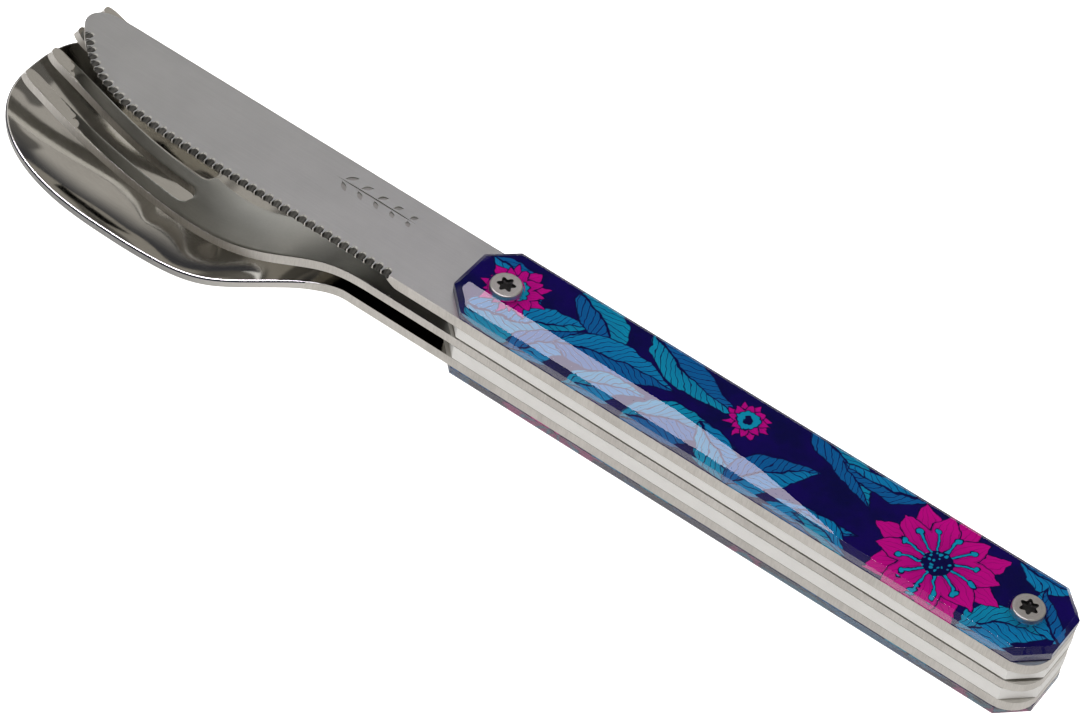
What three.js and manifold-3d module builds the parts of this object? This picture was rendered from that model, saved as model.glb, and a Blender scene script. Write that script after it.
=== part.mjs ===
// Stackable picnic cutlery: a knife, a fork and a spoon whose handles lie on each other.
// The knife and the spoon carry a clear scale over a printed film on one side of the tang and a white
// spacer with magnets on the other, and the bare fork is clamped between the two spacers by the magnets.
// Frame: millimetres, +Z up, +X towards the butt ends of the handles, the bowl's lowest point at Z = 0.

import * as THREE from "three";
import { mergeVertices } from "three/addons/utils/BufferGeometryUtils.js";
import Module from "manifold-3d";

const wasm = await Module();
wasm.setup();

// ---- driving dimensions -------------------------------------------------------------------------

const BUTT_X = 100;
const BOWL_TIP_X = -101.4;

const HANDLE_LENGTH = 112.4;
const HANDLE_WIDTH = 17.3;
const HANDLE_START_X = BUTT_X - HANDLE_LENGTH;
const CORNER_CUT = 4.45;
const TANG_CORNER_RADIUS = 5.5;

const SCALE_WALL = 1.4;
const SCALE_BEVEL = 0.85;
const FILM_THICKNESS = 0.2;
const SPOON_SHEET = 1.9;
const FORK_SHEET = 1.75;
const KNIFE_SHEET = 2.15;
const SPOON_SPACER_THICKNESS = 2.75;
const KNIFE_SPACER_THICKNESS = 2.15;
const FORK_TO_SPOON_GAP = 0.15;
const KNIFE_TO_FORK_GAP = 0.35;
const BOND_LINE = 0.02;

const SCREW_INSET = 7.1;
const SCREW_XS = { front: HANDLE_START_X + SCREW_INSET, rear: BUTT_X - SCREW_INSET };
const SCREW_HEAD_RADIUS = 2.7;
const SCREW_HEAD_HEIGHT = 1.2;
const SCREW_SHANK_RADIUS = 1.45;
const COUNTERBORE_RADIUS = 3.05;
const COUNTERBORE_DEPTH = 0.6;
const HOLE_CLEARANCE = 0.1;
const DRIVE_RADIUS = 1.45;
const DRIVE_DEPTH = 0.7;

const INSERT_BARREL_RADIUS = 2.1;
const INSERT_FLANGE_RADIUS = 3.4;
const INSERT_FLANGE_THICKNESS = 0.6;
const MAGNET_RADIUS = 4;
const MAGNET_HEIGHT = 1.6;
const MAGNET_XS = { front: 17, rear: 71 };
const POCKET_CLEARANCE = 0.1;

const HANDLE_UNDERSIDE_Z = 6.35;
const BOWL_FLOOR_Z = -0.1;

const ROUND_STEPS = 28;
const CORNER_STEPS = 7;
const CUT_MARGIN = 1;
const WELD_DISTANCE = 1e-4;

// The numbers below are measured from a point near the middle of the set. This moves the finished set
// so that its frame's origin is the middle of its footprint, level with the bowl's lowest point.
const TO_FRAME = { x: -(BUTT_X + BOWL_TIP_X) / 2, z: SPOON_SHEET - BOWL_FLOOR_Z };

// ---- the stack, from the lower scale up ----------------------------------------------------------

const SCALE_THICKNESS = SCALE_WALL + SCALE_BEVEL;
const SPOON_SCALE_Z = HANDLE_UNDERSIDE_Z;
const SPOON_FILM_Z = SPOON_SCALE_Z + SCALE_THICKNESS + BOND_LINE;
const SPOON_Z = SPOON_FILM_Z + FILM_THICKNESS + BOND_LINE;
const SPOON_SPACER_Z = SPOON_Z + SPOON_SHEET + BOND_LINE;
const FORK_Z = SPOON_SPACER_Z + SPOON_SPACER_THICKNESS + FORK_TO_SPOON_GAP;
const KNIFE_SPACER_Z = FORK_Z + FORK_SHEET + KNIFE_TO_FORK_GAP;
const KNIFE_Z = KNIFE_SPACER_Z + KNIFE_SPACER_THICKNESS + BOND_LINE;
const KNIFE_FILM_Z = KNIFE_Z + KNIFE_SHEET + BOND_LINE;
const KNIFE_SCALE_Z = KNIFE_FILM_Z + FILM_THICKNESS + BOND_LINE;

// ---- materials -----------------------------------------------------------------------------------

function finish(color, roughness, metalness) {
  return new THREE.MeshStandardMaterial({ color, roughness, metalness });
}

const SATIN_STEEL = finish(0x9a9a97, 0.38, 1);
const POLISHED_STEEL = finish(0xb0ada8, 0.12, 1);
const SCREW_STEEL = finish(0x8e8c86, 0.3, 1);
const BRASS = finish(0xb58d4a, 0.35, 1);
const MAGNET_NICKEL = finish(0xa8a8a6, 0.25, 1);
const WHITE_PLASTIC = finish(0xe4e4e0, 0.55, 0);
const PRINTED_FILM = finish(0x0b0a50, 0.5, 0);
const CLEAR_ACRYLIC = finish(0xdfe6ee, 0.05, 0);

// ---- solids and booleans -------------------------------------------------------------------------

function toSolid(geometry) {
  const bare = geometry.clone();
  bare.deleteAttribute("normal");
  bare.deleteAttribute("uv");
  const merged = mergeVertices(bare, WELD_DISTANCE);
  return new wasm.Manifold(new wasm.Mesh({
    numProp: 3,
    vertProperties: new Float32Array(merged.attributes.position.array),
    triVerts: new Uint32Array(merged.index.array),
  }));
}

function toGeometry(solid) {
  const mesh = solid.getMesh();
  const geometry = new THREE.BufferGeometry();
  geometry.setAttribute("position", new THREE.BufferAttribute(mesh.vertProperties, 3));
  geometry.setIndex(new THREE.BufferAttribute(mesh.triVerts, 1));
  geometry.computeVertexNormals();
  return geometry;
}

function cut(geometry, tools) {
  let solid = toSolid(geometry);
  for (const tool of tools) {
    solid = solid.subtract(toSolid(tool));
  }
  return toGeometry(solid);
}

function disc(radius, x, lowZ, highZ) {
  const geometry = new THREE.CylinderGeometry(radius, radius, highZ - lowZ, ROUND_STEPS);
  geometry.rotateX(Math.PI / 2);
  geometry.translate(x, 0, (lowZ + highZ) / 2);
  return geometry;
}

// The octagonal outline of the scales, films and spacers, seen from above, counter-clockwise.
function octagon(inset) {
  const halfWidth = HANDLE_WIDTH / 2 - inset;
  const cutLength = CORNER_CUT - inset * (2 - Math.SQRT2);
  const startX = HANDLE_START_X + inset;
  const endX = BUTT_X - inset;
  return [
    [startX + cutLength, -halfWidth], [endX - cutLength, -halfWidth],
    [endX, -halfWidth + cutLength], [endX, halfWidth - cutLength],
    [endX - cutLength, halfWidth], [startX + cutLength, halfWidth],
    [startX, halfWidth - cutLength], [startX, -halfWidth + cutLength],
  ];
}

// A solid through convex rings of equal point counts, listed from the lowest to the highest.
function loft(rings) {
  const count = rings[0].outline.length;
  const positions = rings.flatMap(({ outline, z }) => outline.flatMap(([x, y]) => [x, y, z]));
  const faces = [];
  const top = (rings.length - 1) * count;
  for (let i = 0; i < count; i += 1) {
    const next = (i + 1) % count;
    for (let ring = 0; ring < top; ring += count) {
      faces.push(ring + i, ring + next, ring + count + next);
      faces.push(ring + i, ring + count + next, ring + count + i);
    }
    if (i > 1) {
      faces.push(0, i, i - 1);
      faces.push(top, top + i - 1, top + i);
    }
  }
  const geometry = new THREE.BufferGeometry();
  geometry.setAttribute("position", new THREE.Float32BufferAttribute(positions, 3));
  geometry.setIndex(faces);
  return geometry;
}

function plate(lowZ, thickness) {
  return loft([{ outline: octagon(0), z: lowZ }, { outline: octagon(0), z: lowZ + thickness }]);
}

// ---- handle pieces -------------------------------------------------------------------------------

// up is 1 for the knife's scale, whose bevel faces up, and -1 for the spoon's, whose bevel faces down.
function scaleGeometry(lowZ, up) {
  const highZ = lowZ + SCALE_THICKNESS;
  const rings = up > 0
    ? [[0, lowZ], [0, lowZ + SCALE_WALL], [SCALE_BEVEL, highZ]]
    : [[SCALE_BEVEL, lowZ], [0, lowZ + SCALE_BEVEL], [0, highZ]];
  const body = loft(rings.map(([inset, z]) => ({ outline: octagon(inset), z })));
  const faceZ = up > 0 ? highZ : lowZ;
  const tools = Object.values(SCREW_XS).flatMap((x) => [
    disc(SCREW_SHANK_RADIUS + HOLE_CLEARANCE, x, lowZ - CUT_MARGIN, highZ + CUT_MARGIN),
    disc(COUNTERBORE_RADIUS, x, faceZ - COUNTERBORE_DEPTH, faceZ + COUNTERBORE_DEPTH),
  ]);
  return cut(body, tools);
}

function filmGeometry(lowZ) {
  const radius = SCREW_SHANK_RADIUS + HOLE_CLEARANCE;
  const holes = Object.values(SCREW_XS).map((x) => disc(radius, x, lowZ - CUT_MARGIN, lowZ + CUT_MARGIN));
  return cut(plate(lowZ, FILM_THICKNESS), holes);
}

// The pockets for the magnets and the inserts' flanges open on the face that meets the fork.
function spacerGeometry(lowZ, thickness, openUp) {
  const highZ = lowZ + thickness;
  const faceZ = openUp > 0 ? highZ : lowZ;
  const pocket = (radius, x, depth) => {
    const floorZ = faceZ - openUp * depth;
    const mouthZ = faceZ + openUp * CUT_MARGIN;
    return disc(radius, x, Math.min(floorZ, mouthZ), Math.max(floorZ, mouthZ));
  };
  const tools = [
    ...Object.values(MAGNET_XS).map((x) => pocket(MAGNET_RADIUS + POCKET_CLEARANCE, x, MAGNET_HEIGHT)),
    ...Object.values(SCREW_XS).flatMap((x) => [
      disc(INSERT_BARREL_RADIUS + HOLE_CLEARANCE, x, lowZ - CUT_MARGIN, highZ + CUT_MARGIN),
      pocket(INSERT_FLANGE_RADIUS + POCKET_CLEARANCE, x, INSERT_FLANGE_THICKNESS),
    ]),
  ];
  return cut(plate(lowZ, thickness), tools);
}

// A flanged threaded insert standing on its flange at z = 0; the barrel reaches into the tang's hole.
function insertGeometry(height) {
  const bore = SCREW_SHANK_RADIUS + HOLE_CLEARANCE / 2;
  const profile = [
    [bore, 0], [INSERT_FLANGE_RADIUS, 0], [INSERT_FLANGE_RADIUS, INSERT_FLANGE_THICKNESS],
    [INSERT_BARREL_RADIUS, INSERT_FLANGE_THICKNESS], [INSERT_BARREL_RADIUS, height],
    [bore, height], [bore, 0],
  ];
  const geometry = new THREE.LatheGeometry(profile.map(([r, z]) => new THREE.Vector2(r, z)), ROUND_STEPS);
  geometry.rotateX(Math.PI / 2);
  return geometry;
}

function sixLobeShape(radius) {
  const lobes = 6;
  const stepsPerLobe = 6;
  const lobeDepth = 0.14;
  const shape = new THREE.Shape();
  for (let i = 0; i < lobes * stepsPerLobe; i += 1) {
    const angle = (i / (lobes * stepsPerLobe)) * Math.PI * 2;
    const r = radius * (1 - lobeDepth + lobeDepth * Math.cos(lobes * angle));
    const x = r * Math.cos(angle);
    const y = r * Math.sin(angle);
    if (i === 0) {
      shape.moveTo(x, y);
    } else {
      shape.lineTo(x, y);
    }
  }
  shape.closePath();
  return shape;
}

// A flat-headed screw with its head's seat at z = 0, its head up and its shank down.
function screwGeometry(shankLength) {
  const edge = 0.25;
  const profile = [
    [0, -shankLength], [SCREW_SHANK_RADIUS - edge, -shankLength], [SCREW_SHANK_RADIUS, edge - shankLength],
    [SCREW_SHANK_RADIUS, 0], [SCREW_HEAD_RADIUS, 0], [SCREW_HEAD_RADIUS, SCREW_HEAD_HEIGHT - edge],
    [SCREW_HEAD_RADIUS - edge, SCREW_HEAD_HEIGHT], [0, SCREW_HEAD_HEIGHT],
  ];
  const body = new THREE.LatheGeometry(profile.map(([r, z]) => new THREE.Vector2(r, z)), ROUND_STEPS);
  body.rotateX(Math.PI / 2);
  const drive = new THREE.ExtrudeGeometry(sixLobeShape(DRIVE_RADIUS), {
    depth: DRIVE_DEPTH * 2, bevelEnabled: false, curveSegments: 1,
  });
  drive.translate(0, 0, SCREW_HEAD_HEIGHT - DRIVE_DEPTH);
  return cut(body, [drive]);
}

// ---- knife ---------------------------------------------------------------------------------------

const BLADE_SPINE_Y = 8.0;
const SHOULDER_X = { blade: HANDLE_START_X + 4, tang: HANDLE_START_X + 9 };
const TOOTH_PITCH = 1.75;
const TOOTH_DEPTH = 0.55;
const TOOTH_STEPS = 4;
const BLADE_NOSE_X = -88;

// The rounded nose, from the end of the straight spine to the tip of the cutting edge.
const NOSE_CURVE = [[-91.3, 7.8], [-93.4, 6.7], [-94.4, 4.9], [-93.9, 2.8]];

// The cutting edge from the heel to the tip, as a smooth curve.
const CUTTING_EDGE = new THREE.SplineCurve([
  [-20, -8.65], [-50, -8.65], [-66, -8.5], [-76, -7.6], [-83, -5.6], [-88.5, -2.4], [-92.4, 1.4],
].map(([x, y]) => new THREE.Vector2(x, y)));

function serratedEdge() {
  const length = CUTTING_EDGE.getLength();
  const teeth = Math.round(length / TOOTH_PITCH);
  const points = [];
  for (let tooth = 0; tooth < teeth; tooth += 1) {
    for (let step = 0; step < TOOTH_STEPS; step += 1) {
      const u = (tooth + step / TOOTH_STEPS) / teeth;
      const point = CUTTING_EDGE.getPointAt(u);
      const tangent = CUTTING_EDGE.getTangentAt(u);
      const depth = TOOTH_DEPTH * Math.sin((Math.PI * step) / TOOTH_STEPS);
      points.push([point.x + tangent.y * depth, point.y - tangent.x * depth]);
    }
  }
  return points;
}

function knifeGeometry() {
  const halfWidth = HANDLE_WIDTH / 2;
  const r = TANG_CORNER_RADIUS;
  const shape = new THREE.Shape();
  shape.moveTo(BUTT_X - r, -halfWidth);
  shape.absarc(BUTT_X - r, r - halfWidth, r, -Math.PI / 2, 0);
  shape.absarc(BUTT_X - r, halfWidth - r, r, 0, Math.PI / 2);
  shape.lineTo(SHOULDER_X.tang, halfWidth);
  shape.lineTo(SHOULDER_X.blade, BLADE_SPINE_Y);
  shape.lineTo(BLADE_NOSE_X, BLADE_SPINE_Y);
  shape.splineThru(NOSE_CURVE.map(([x, y]) => new THREE.Vector2(x, y)));
  for (const [x, y] of serratedEdge().reverse()) {
    shape.lineTo(x, y);
  }
  for (const x of Object.values(SCREW_XS)) {
    const hole = new THREE.Path();
    hole.absarc(x, 0, INSERT_BARREL_RADIUS + HOLE_CLEARANCE, 0, Math.PI * 2, true);
    shape.holes.push(hole);
  }
  const geometry = new THREE.ExtrudeGeometry(shape, {
    depth: KNIFE_SHEET, bevelEnabled: false, curveSegments: CORNER_STEPS,
  });
  geometry.translate(0, 0, KNIFE_Z);
  return geometry;
}

// ---- bent sheets: fork and spoon -------------------------------------------------------------------

// A smooth function through [x, value] pairs, level at each pair that is higher or lower than both
// its neighbours, and constant past the ends.
function smoothThrough(pairs) {
  const slopes = pairs.map((_, i) => {
    if (i === 0 || i === pairs.length - 1) {
      return 0;
    }
    const before = (pairs[i][1] - pairs[i - 1][1]) / (pairs[i][0] - pairs[i - 1][0]);
    const after = (pairs[i + 1][1] - pairs[i][1]) / (pairs[i + 1][0] - pairs[i][0]);
    return before * after <= 0 ? 0 : (2 * before * after) / (before + after);
  });
  return (x) => {
    if (x <= pairs[0][0]) {
      return pairs[0][1];
    }
    const i = pairs.findIndex(([knot]) => knot >= x);
    if (i < 0) {
      return pairs[pairs.length - 1][1];
    }
    const [x0, y0] = pairs[i - 1];
    const [x1, y1] = pairs[i];
    const t = (x - x0) / (x1 - x0);
    const rise = x1 - x0;
    return (2 * t ** 3 - 3 * t ** 2 + 1) * y0 + (t ** 3 - 2 * t ** 2 + t) * rise * slopes[i - 1]
      + (3 * t ** 2 - 2 * t ** 3) * y1 + (t ** 3 - t ** 2) * rise * slopes[i];
  };
}

// Half of the tang's width, with its round corners at the butt end.
function tangHalfWidth(x) {
  const past = Math.max(0, x - (BUTT_X - TANG_CORNER_RADIUS));
  const round = Math.sqrt(Math.max(0, TANG_CORNER_RADIUS ** 2 - past ** 2));
  return HANDLE_WIDTH / 2 - TANG_CORNER_RADIUS + round;
}

function tangStations() {
  const stations = [];
  for (let i = 0; i <= CORNER_STEPS; i += 1) {
    const angle = (i / CORNER_STEPS) * (Math.PI / 2);
    stations.push(BUTT_X - TANG_CORNER_RADIUS + TANG_CORNER_RADIUS * Math.sin(angle));
  }
  return stations;
}

// A closed sheet over a grid of stations along X and rows across. rowYs(x) gives the rows' Y values,
// keep(station, row) says whether a cell belongs to the sheet, topZ(x, y) is its upper face and
// drop(x, y) its thickness along Z.
function bentSheet(stations, rowYs, keep, topZ, drop) {
  const rows = rowYs(stations[0]).length;
  const positions = [];
  for (const x of stations) {
    for (const y of rowYs(x)) {
      const z = topZ(x, y);
      positions.push(x, y, z, x, y, z - drop(x, y));
    }
  }
  const upper = (i, j) => (i * rows + j) * 2;
  const lower = (i, j) => upper(i, j) + 1;
  const cells = stations.length - 1;
  const kept = (i, j) => i >= 0 && j >= 0 && i < cells && j < rows - 1 && keep(i, j);
  const faces = [];
  const quad = (a, b, c, d) => faces.push(a, b, c, a, c, d);
  const wall = (i0, j0, i1, j1) => quad(lower(i0, j0), lower(i1, j1), upper(i1, j1), upper(i0, j0));
  for (let i = 0; i < cells; i += 1) {
    for (let j = 0; j < rows - 1; j += 1) {
      if (!kept(i, j)) {
        continue;
      }
      quad(upper(i, j), upper(i + 1, j), upper(i + 1, j + 1), upper(i, j + 1));
      quad(lower(i, j), lower(i, j + 1), lower(i + 1, j + 1), lower(i + 1, j));
      if (!kept(i, j - 1)) {
        wall(i, j, i + 1, j);
      }
      if (!kept(i + 1, j)) {
        wall(i + 1, j, i + 1, j + 1);
      }
      if (!kept(i, j + 1)) {
        wall(i + 1, j + 1, i, j + 1);
      }
      if (!kept(i - 1, j)) {
        wall(i, j + 1, i, j);
      }
    }
  }
  const geometry = new THREE.BufferGeometry();
  geometry.setAttribute("position", new THREE.Float32BufferAttribute(positions, 3));
  geometry.setIndex(faces);
  return geometry;
}

function evenSteps(from, to, count) {
  return Array.from({ length: count + 1 }, (_, i) => from + ((to - from) * i) / count);
}

// ---- fork ----------------------------------------------------------------------------------------

const FORK_TIP_X = -95;
const SLOT_ROOT_X = -62;
const SLOT_ROUND = 2;
const TINE_CENTRES = [0.3, 0.894];
const TINE_HALF = { tip: 0.8, end: 1.15, root: 1.4 };
const TIP_ROUNDS = [0.8, 2.5];
const SLOT_ROOT_SHARE = 0.25;
const FORK_NECK_X = -28;
const FORK_BEND_END_X = -25;

const FORK_TOP = FORK_Z + FORK_SHEET;
const forkTopZ = smoothThrough([
  [FORK_TIP_X, 17.75], [-90, 15.6], [-80, 11.4], [-71, 8.8], [-62, 8.1], [-54, 9.1], [-45, 11.4],
  [-36, 14.0], [FORK_BEND_END_X, FORK_TOP],
]);
const forkHalfWidth = smoothThrough([
  [FORK_TIP_X, 11.4], [-88, 11.6], [-76, 11.1], [-66, 11.2], [-57, 12.0], [-50, 12.35], [-44, 11.7],
  [-38, 10.1], [-33.5, 9.0], [FORK_NECK_X, HANDLE_WIDTH / 2],
]);

// Half of the fork's width anywhere along it.
function forkHalf(x) {
  return x > FORK_NECK_X ? tangHalfWidth(x) : forkHalfWidth(x);
}

// The rows follow the tines' edges as far as the slots' roots, and then share out the width.
function forkRows(x) {
  const rowX = Math.min(x, SLOT_ROOT_X);
  const half = forkHalf(rowX);
  const along = (rowX - FORK_TIP_X) / (SLOT_ROOT_X - FORK_TIP_X);
  const tipRound = THREE.MathUtils.smoothstep(rowX, FORK_TIP_X - TIP_ROUNDS[0], FORK_TIP_X + TIP_ROUNDS[1]);
  const taper = THREE.MathUtils.lerp(TINE_HALF.end, TINE_HALF.root, along);
  const tine = THREE.MathUtils.lerp(TINE_HALF.tip, taper, tipRound);
  const intoRoot = THREE.MathUtils.clamp((rowX - SLOT_ROOT_X) / SLOT_ROUND + 1, 0, 1);
  const slotPinch = THREE.MathUtils.lerp(SLOT_ROOT_SHARE, 1, Math.sqrt(1 - intoRoot ** 2));
  const [inner, outer] = TINE_CENTRES.map((share) => share * half);
  const sideMid = (inner + outer) / 2;
  const sideSlot = (sideMid - inner - tine) * slotPinch;
  const edge = x < SLOT_ROOT_X ? Math.min(outer + tine, half) : half;
  const right = [(inner - tine) * slotPinch, sideMid - sideSlot, sideMid + sideSlot, edge];
  const spread = forkHalf(x) / half;
  return [...right.map((y) => -y * spread).reverse(), ...right.map((y) => y * spread)];
}

function forkGeometry() {
  const slotRoundX = SLOT_ROOT_X - SLOT_ROUND;
  const tineCells = 10;
  const slotCells = 4;
  const headCells = 13;
  const stations = [
    FORK_TIP_X, FORK_TIP_X + TIP_ROUNDS[0],
    ...evenSteps(FORK_TIP_X + TIP_ROUNDS[1], slotRoundX, tineCells),
    ...evenSteps(slotRoundX, SLOT_ROOT_X, slotCells).slice(1),
    ...evenSteps(SLOT_ROOT_X, FORK_BEND_END_X, headCells).slice(1), ...tangStations(),
  ];
  const rootStation = stations.indexOf(SLOT_ROOT_X);
  const keep = (i, j) => i >= rootStation || j % 2 === 0;
  const step = 0.5;
  const drop = (x) => {
    const slope = (forkTopZ(x + step) - forkTopZ(x - step)) / (2 * step);
    return FORK_SHEET * Math.hypot(1, slope);
  };
  return bentSheet(stations, forkRows, keep, forkTopZ, drop);
}

// ---- spoon ---------------------------------------------------------------------------------------

const BOWL_NECK_X = -29;
const BOWL_ROUND_X = -72;
const BOWL_ROUNDNESS = 2.63;
const BOWL_DISH = 2.2;
const BOWL_TIP_FLAT = 2.2;
const SPOON_TOP = SPOON_Z + SPOON_SHEET;

const bowlHalfWidth = smoothThrough([
  [-101, 19.3], [-86, 19.35], [-77, 19.7], [-68, 20.15], [-60, 19.85], [-54, 19.15], [-50, 18.1],
  [-46, 15.7], [-42, 13.5], [-38, 11.5], [-34, 10.1], [BOWL_NECK_X, HANDLE_WIDTH / 2],
]);
const rimZ = smoothThrough([
  [BOWL_TIP_X, 8.0], [-96, 6.9], [-90, 6.1], [-80, 5.3], [-68, 5.1], [-56, 5.2], [-52, 5.6],
  [-46, 6.7], [-40, 8.3], [-34, 10.2], [BOWL_NECK_X, SPOON_TOP],
]);
const keelZ = smoothThrough([
  [BOWL_TIP_X, 7.6], [-98.5, 5.2], [-93, 2.8], [-84, 0.8], [BOWL_ROUND_X, BOWL_FLOOR_Z],
  [-60, 0.6], [-50, 2.9], [-42, 6.4], [BOWL_NECK_X, SPOON_TOP],
]);

function spoonHalfWidth(x) {
  if (x > BOWL_NECK_X) {
    return tangHalfWidth(x);
  }
  const past = THREE.MathUtils.clamp((BOWL_ROUND_X - x) / (BOWL_ROUND_X - BOWL_TIP_X), 0, 1);
  return bowlHalfWidth(x) * (1 - past ** BOWL_ROUNDNESS) ** (1 / BOWL_ROUNDNESS);
}

function spoonTopZ(x, y) {
  const share = Math.min(1, Math.abs(y) / Math.max(spoonHalfWidth(x), BOWL_TIP_FLAT));
  return keelZ(x) + (rimZ(x) - keelZ(x)) * share ** BOWL_DISH;
}

function spoonGeometry() {
  const rightRows = [0.2, 0.42, 0.62, 0.8, 0.93, 1];
  const rows = [...rightRows.map((share) => -share).reverse(), 0, ...rightRows];
  const tipCells = 12;
  const neckCells = 13;
  const tip = Array.from({ length: tipCells }, (_, i) => {
    const angle = (i / tipCells) * (Math.PI / 2);
    return BOWL_ROUND_X - (BOWL_ROUND_X - BOWL_TIP_X) * Math.cos(angle);
  });
  const stations = [...tip, ...evenSteps(BOWL_ROUND_X, BOWL_NECK_X, neckCells), ...tangStations()];
  const rowYs = (x) => rows.map((share) => share * Math.max(spoonHalfWidth(x), BOWL_TIP_FLAT));
  const drop = (x, y) => SPOON_SHEET * (x > BOWL_NECK_X ? 1 : spoonSteepness(x, y));
  const sheet = bentSheet(stations, rowYs, () => true, spoonTopZ, drop);
  const holes = Object.values(SCREW_XS).map((x) => (
    disc(INSERT_BARREL_RADIUS + HOLE_CLEARANCE, x, SPOON_Z - CUT_MARGIN, SPOON_TOP + CUT_MARGIN)
  ));
  return cut(sheet, holes);
}

// How much longer the sheet's thickness is along Z where its upper face is steep, held to a
// moderate amount at the rim.
function spoonSteepness(x, y) {
  const step = 0.4;
  const limit = 0.55;
  const alongX = (spoonTopZ(x + step, y) - spoonTopZ(x - step, y)) / (2 * step);
  const inside = Math.max(Math.abs(y) - step, 0);
  const alongY = (spoonTopZ(x, Math.abs(y)) - spoonTopZ(x, inside)) / step;
  return Math.hypot(1, Math.min(Math.abs(alongX), limit), Math.min(Math.abs(alongY), limit));
}

// ---- assembly ------------------------------------------------------------------------------------

const cutlery = new THREE.Group();

function addPiece(parent, name, geometry, material) {
  const mesh = new THREE.Mesh(geometry, material);
  mesh.name = name;
  parent.add(mesh);
  return mesh;
}

// Magnets, inserts and screws of one tool; up is 1 for the knife, whose scale faces up.
function addFasteners(parent, tool, up, spacerFaceZ, scaleFaceZ, insertHeight) {
  for (const [end, x] of Object.entries(MAGNET_XS)) {
    const magnet = new THREE.CylinderGeometry(MAGNET_RADIUS, MAGNET_RADIUS, MAGNET_HEIGHT, ROUND_STEPS);
    magnet.rotateX(Math.PI / 2);
    const piece = addPiece(parent, `${tool}_magnet_${end}`, magnet, MAGNET_NICKEL);
    piece.position.set(x, 0, spacerFaceZ + up * (MAGNET_HEIGHT / 2 - BOND_LINE));
  }
  const seatZ = scaleFaceZ - up * COUNTERBORE_DEPTH;
  const shankLength = Math.abs(seatZ - spacerFaceZ) - INSERT_FLANGE_THICKNESS;
  for (const [end, x] of Object.entries(SCREW_XS)) {
    const insert = addPiece(parent, `${tool}_insert_${end}`, insertGeometry(insertHeight), BRASS);
    insert.position.set(x, 0, spacerFaceZ);
    const screw = addPiece(parent, `${tool}_screw_${end}`, screwGeometry(shankLength), SCREW_STEEL);
    screw.position.set(x, 0, seatZ);
    if (up < 0) {
      insert.rotation.x = Math.PI;
      screw.rotation.x = Math.PI;
    }
  }
}

const spoonTool = new THREE.Group();
addPiece(spoonTool, "spoon", spoonGeometry(), POLISHED_STEEL);
addPiece(
  spoonTool, "spoon_spacer", spacerGeometry(SPOON_SPACER_Z, SPOON_SPACER_THICKNESS, 1), WHITE_PLASTIC,
);
addPiece(spoonTool, "spoon_film", filmGeometry(SPOON_FILM_Z), PRINTED_FILM);
addPiece(spoonTool, "spoon_scale", scaleGeometry(SPOON_SCALE_Z, -1), CLEAR_ACRYLIC);
addFasteners(
  spoonTool, "spoon", -1, SPOON_SPACER_Z + SPOON_SPACER_THICKNESS, SPOON_SCALE_Z,
  SPOON_SPACER_THICKNESS + SPOON_SHEET / 2,
);
cutlery.add(spoonTool);

const forkTool = new THREE.Group();
addPiece(forkTool, "fork", forkGeometry(), POLISHED_STEEL);
cutlery.add(forkTool);

const knifeTool = new THREE.Group();
addPiece(knifeTool, "knife", knifeGeometry(), SATIN_STEEL);
addPiece(
  knifeTool, "knife_spacer", spacerGeometry(KNIFE_SPACER_Z, KNIFE_SPACER_THICKNESS, -1), WHITE_PLASTIC,
);
addPiece(knifeTool, "knife_film", filmGeometry(KNIFE_FILM_Z), PRINTED_FILM);
addPiece(knifeTool, "knife_scale", scaleGeometry(KNIFE_SCALE_Z, 1), CLEAR_ACRYLIC);
addFasteners(
  knifeTool, "knife", 1, KNIFE_SPACER_Z, KNIFE_SCALE_Z + SCALE_THICKNESS,
  KNIFE_SPACER_THICKNESS + KNIFE_SHEET / 2,
);
cutlery.add(knifeTool);

cutlery.position.set(TO_FRAME.x, 0, TO_FRAME.z);

export default cutlery;
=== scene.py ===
import math

import bmesh
import bpy
import numpy as np
from mathutils import Matrix, Vector


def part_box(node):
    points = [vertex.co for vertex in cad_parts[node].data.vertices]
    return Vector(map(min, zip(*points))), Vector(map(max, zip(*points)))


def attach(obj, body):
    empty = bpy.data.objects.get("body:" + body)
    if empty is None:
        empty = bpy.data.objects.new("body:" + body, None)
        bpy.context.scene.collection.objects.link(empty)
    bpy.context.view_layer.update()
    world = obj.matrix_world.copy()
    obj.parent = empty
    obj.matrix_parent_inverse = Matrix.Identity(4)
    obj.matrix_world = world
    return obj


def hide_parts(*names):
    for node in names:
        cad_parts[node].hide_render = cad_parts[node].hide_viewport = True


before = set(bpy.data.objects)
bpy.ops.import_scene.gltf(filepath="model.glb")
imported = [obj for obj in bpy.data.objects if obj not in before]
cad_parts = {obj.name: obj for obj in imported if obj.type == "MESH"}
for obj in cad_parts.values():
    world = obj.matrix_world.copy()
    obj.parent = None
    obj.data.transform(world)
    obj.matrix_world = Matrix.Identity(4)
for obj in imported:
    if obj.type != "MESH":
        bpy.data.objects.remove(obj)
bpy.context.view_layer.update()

# Stackable picnic cutlery: knife, fork and spoon. Lengths are in millimetres unless a name says
# otherwise, and meshes are scaled to metres when they are made.

MM = 0.001
SCENE = bpy.context.scene

# Lengths are measured from a working point near the middle of the set. This is where it lies in the
# part's frame.
WORKING_POINT = Vector((0.7, 0.0, 2.0))
TABLE_Z = -WORKING_POINT.z


def in_frame(point):
    """A matrix that puts something at a working point, in metres of the part's frame."""
    return Matrix.Translation((Vector(point) + WORKING_POINT) * MM)


def box_mm(node):
    """Lowest and highest corner of a CAD node, in millimetres from the working point."""
    low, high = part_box(node)
    return low / MM - WORKING_POINT, high / MM - WORKING_POINT


# ---- sizes read from the frame ---------------------------------------------------------------------

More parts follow.
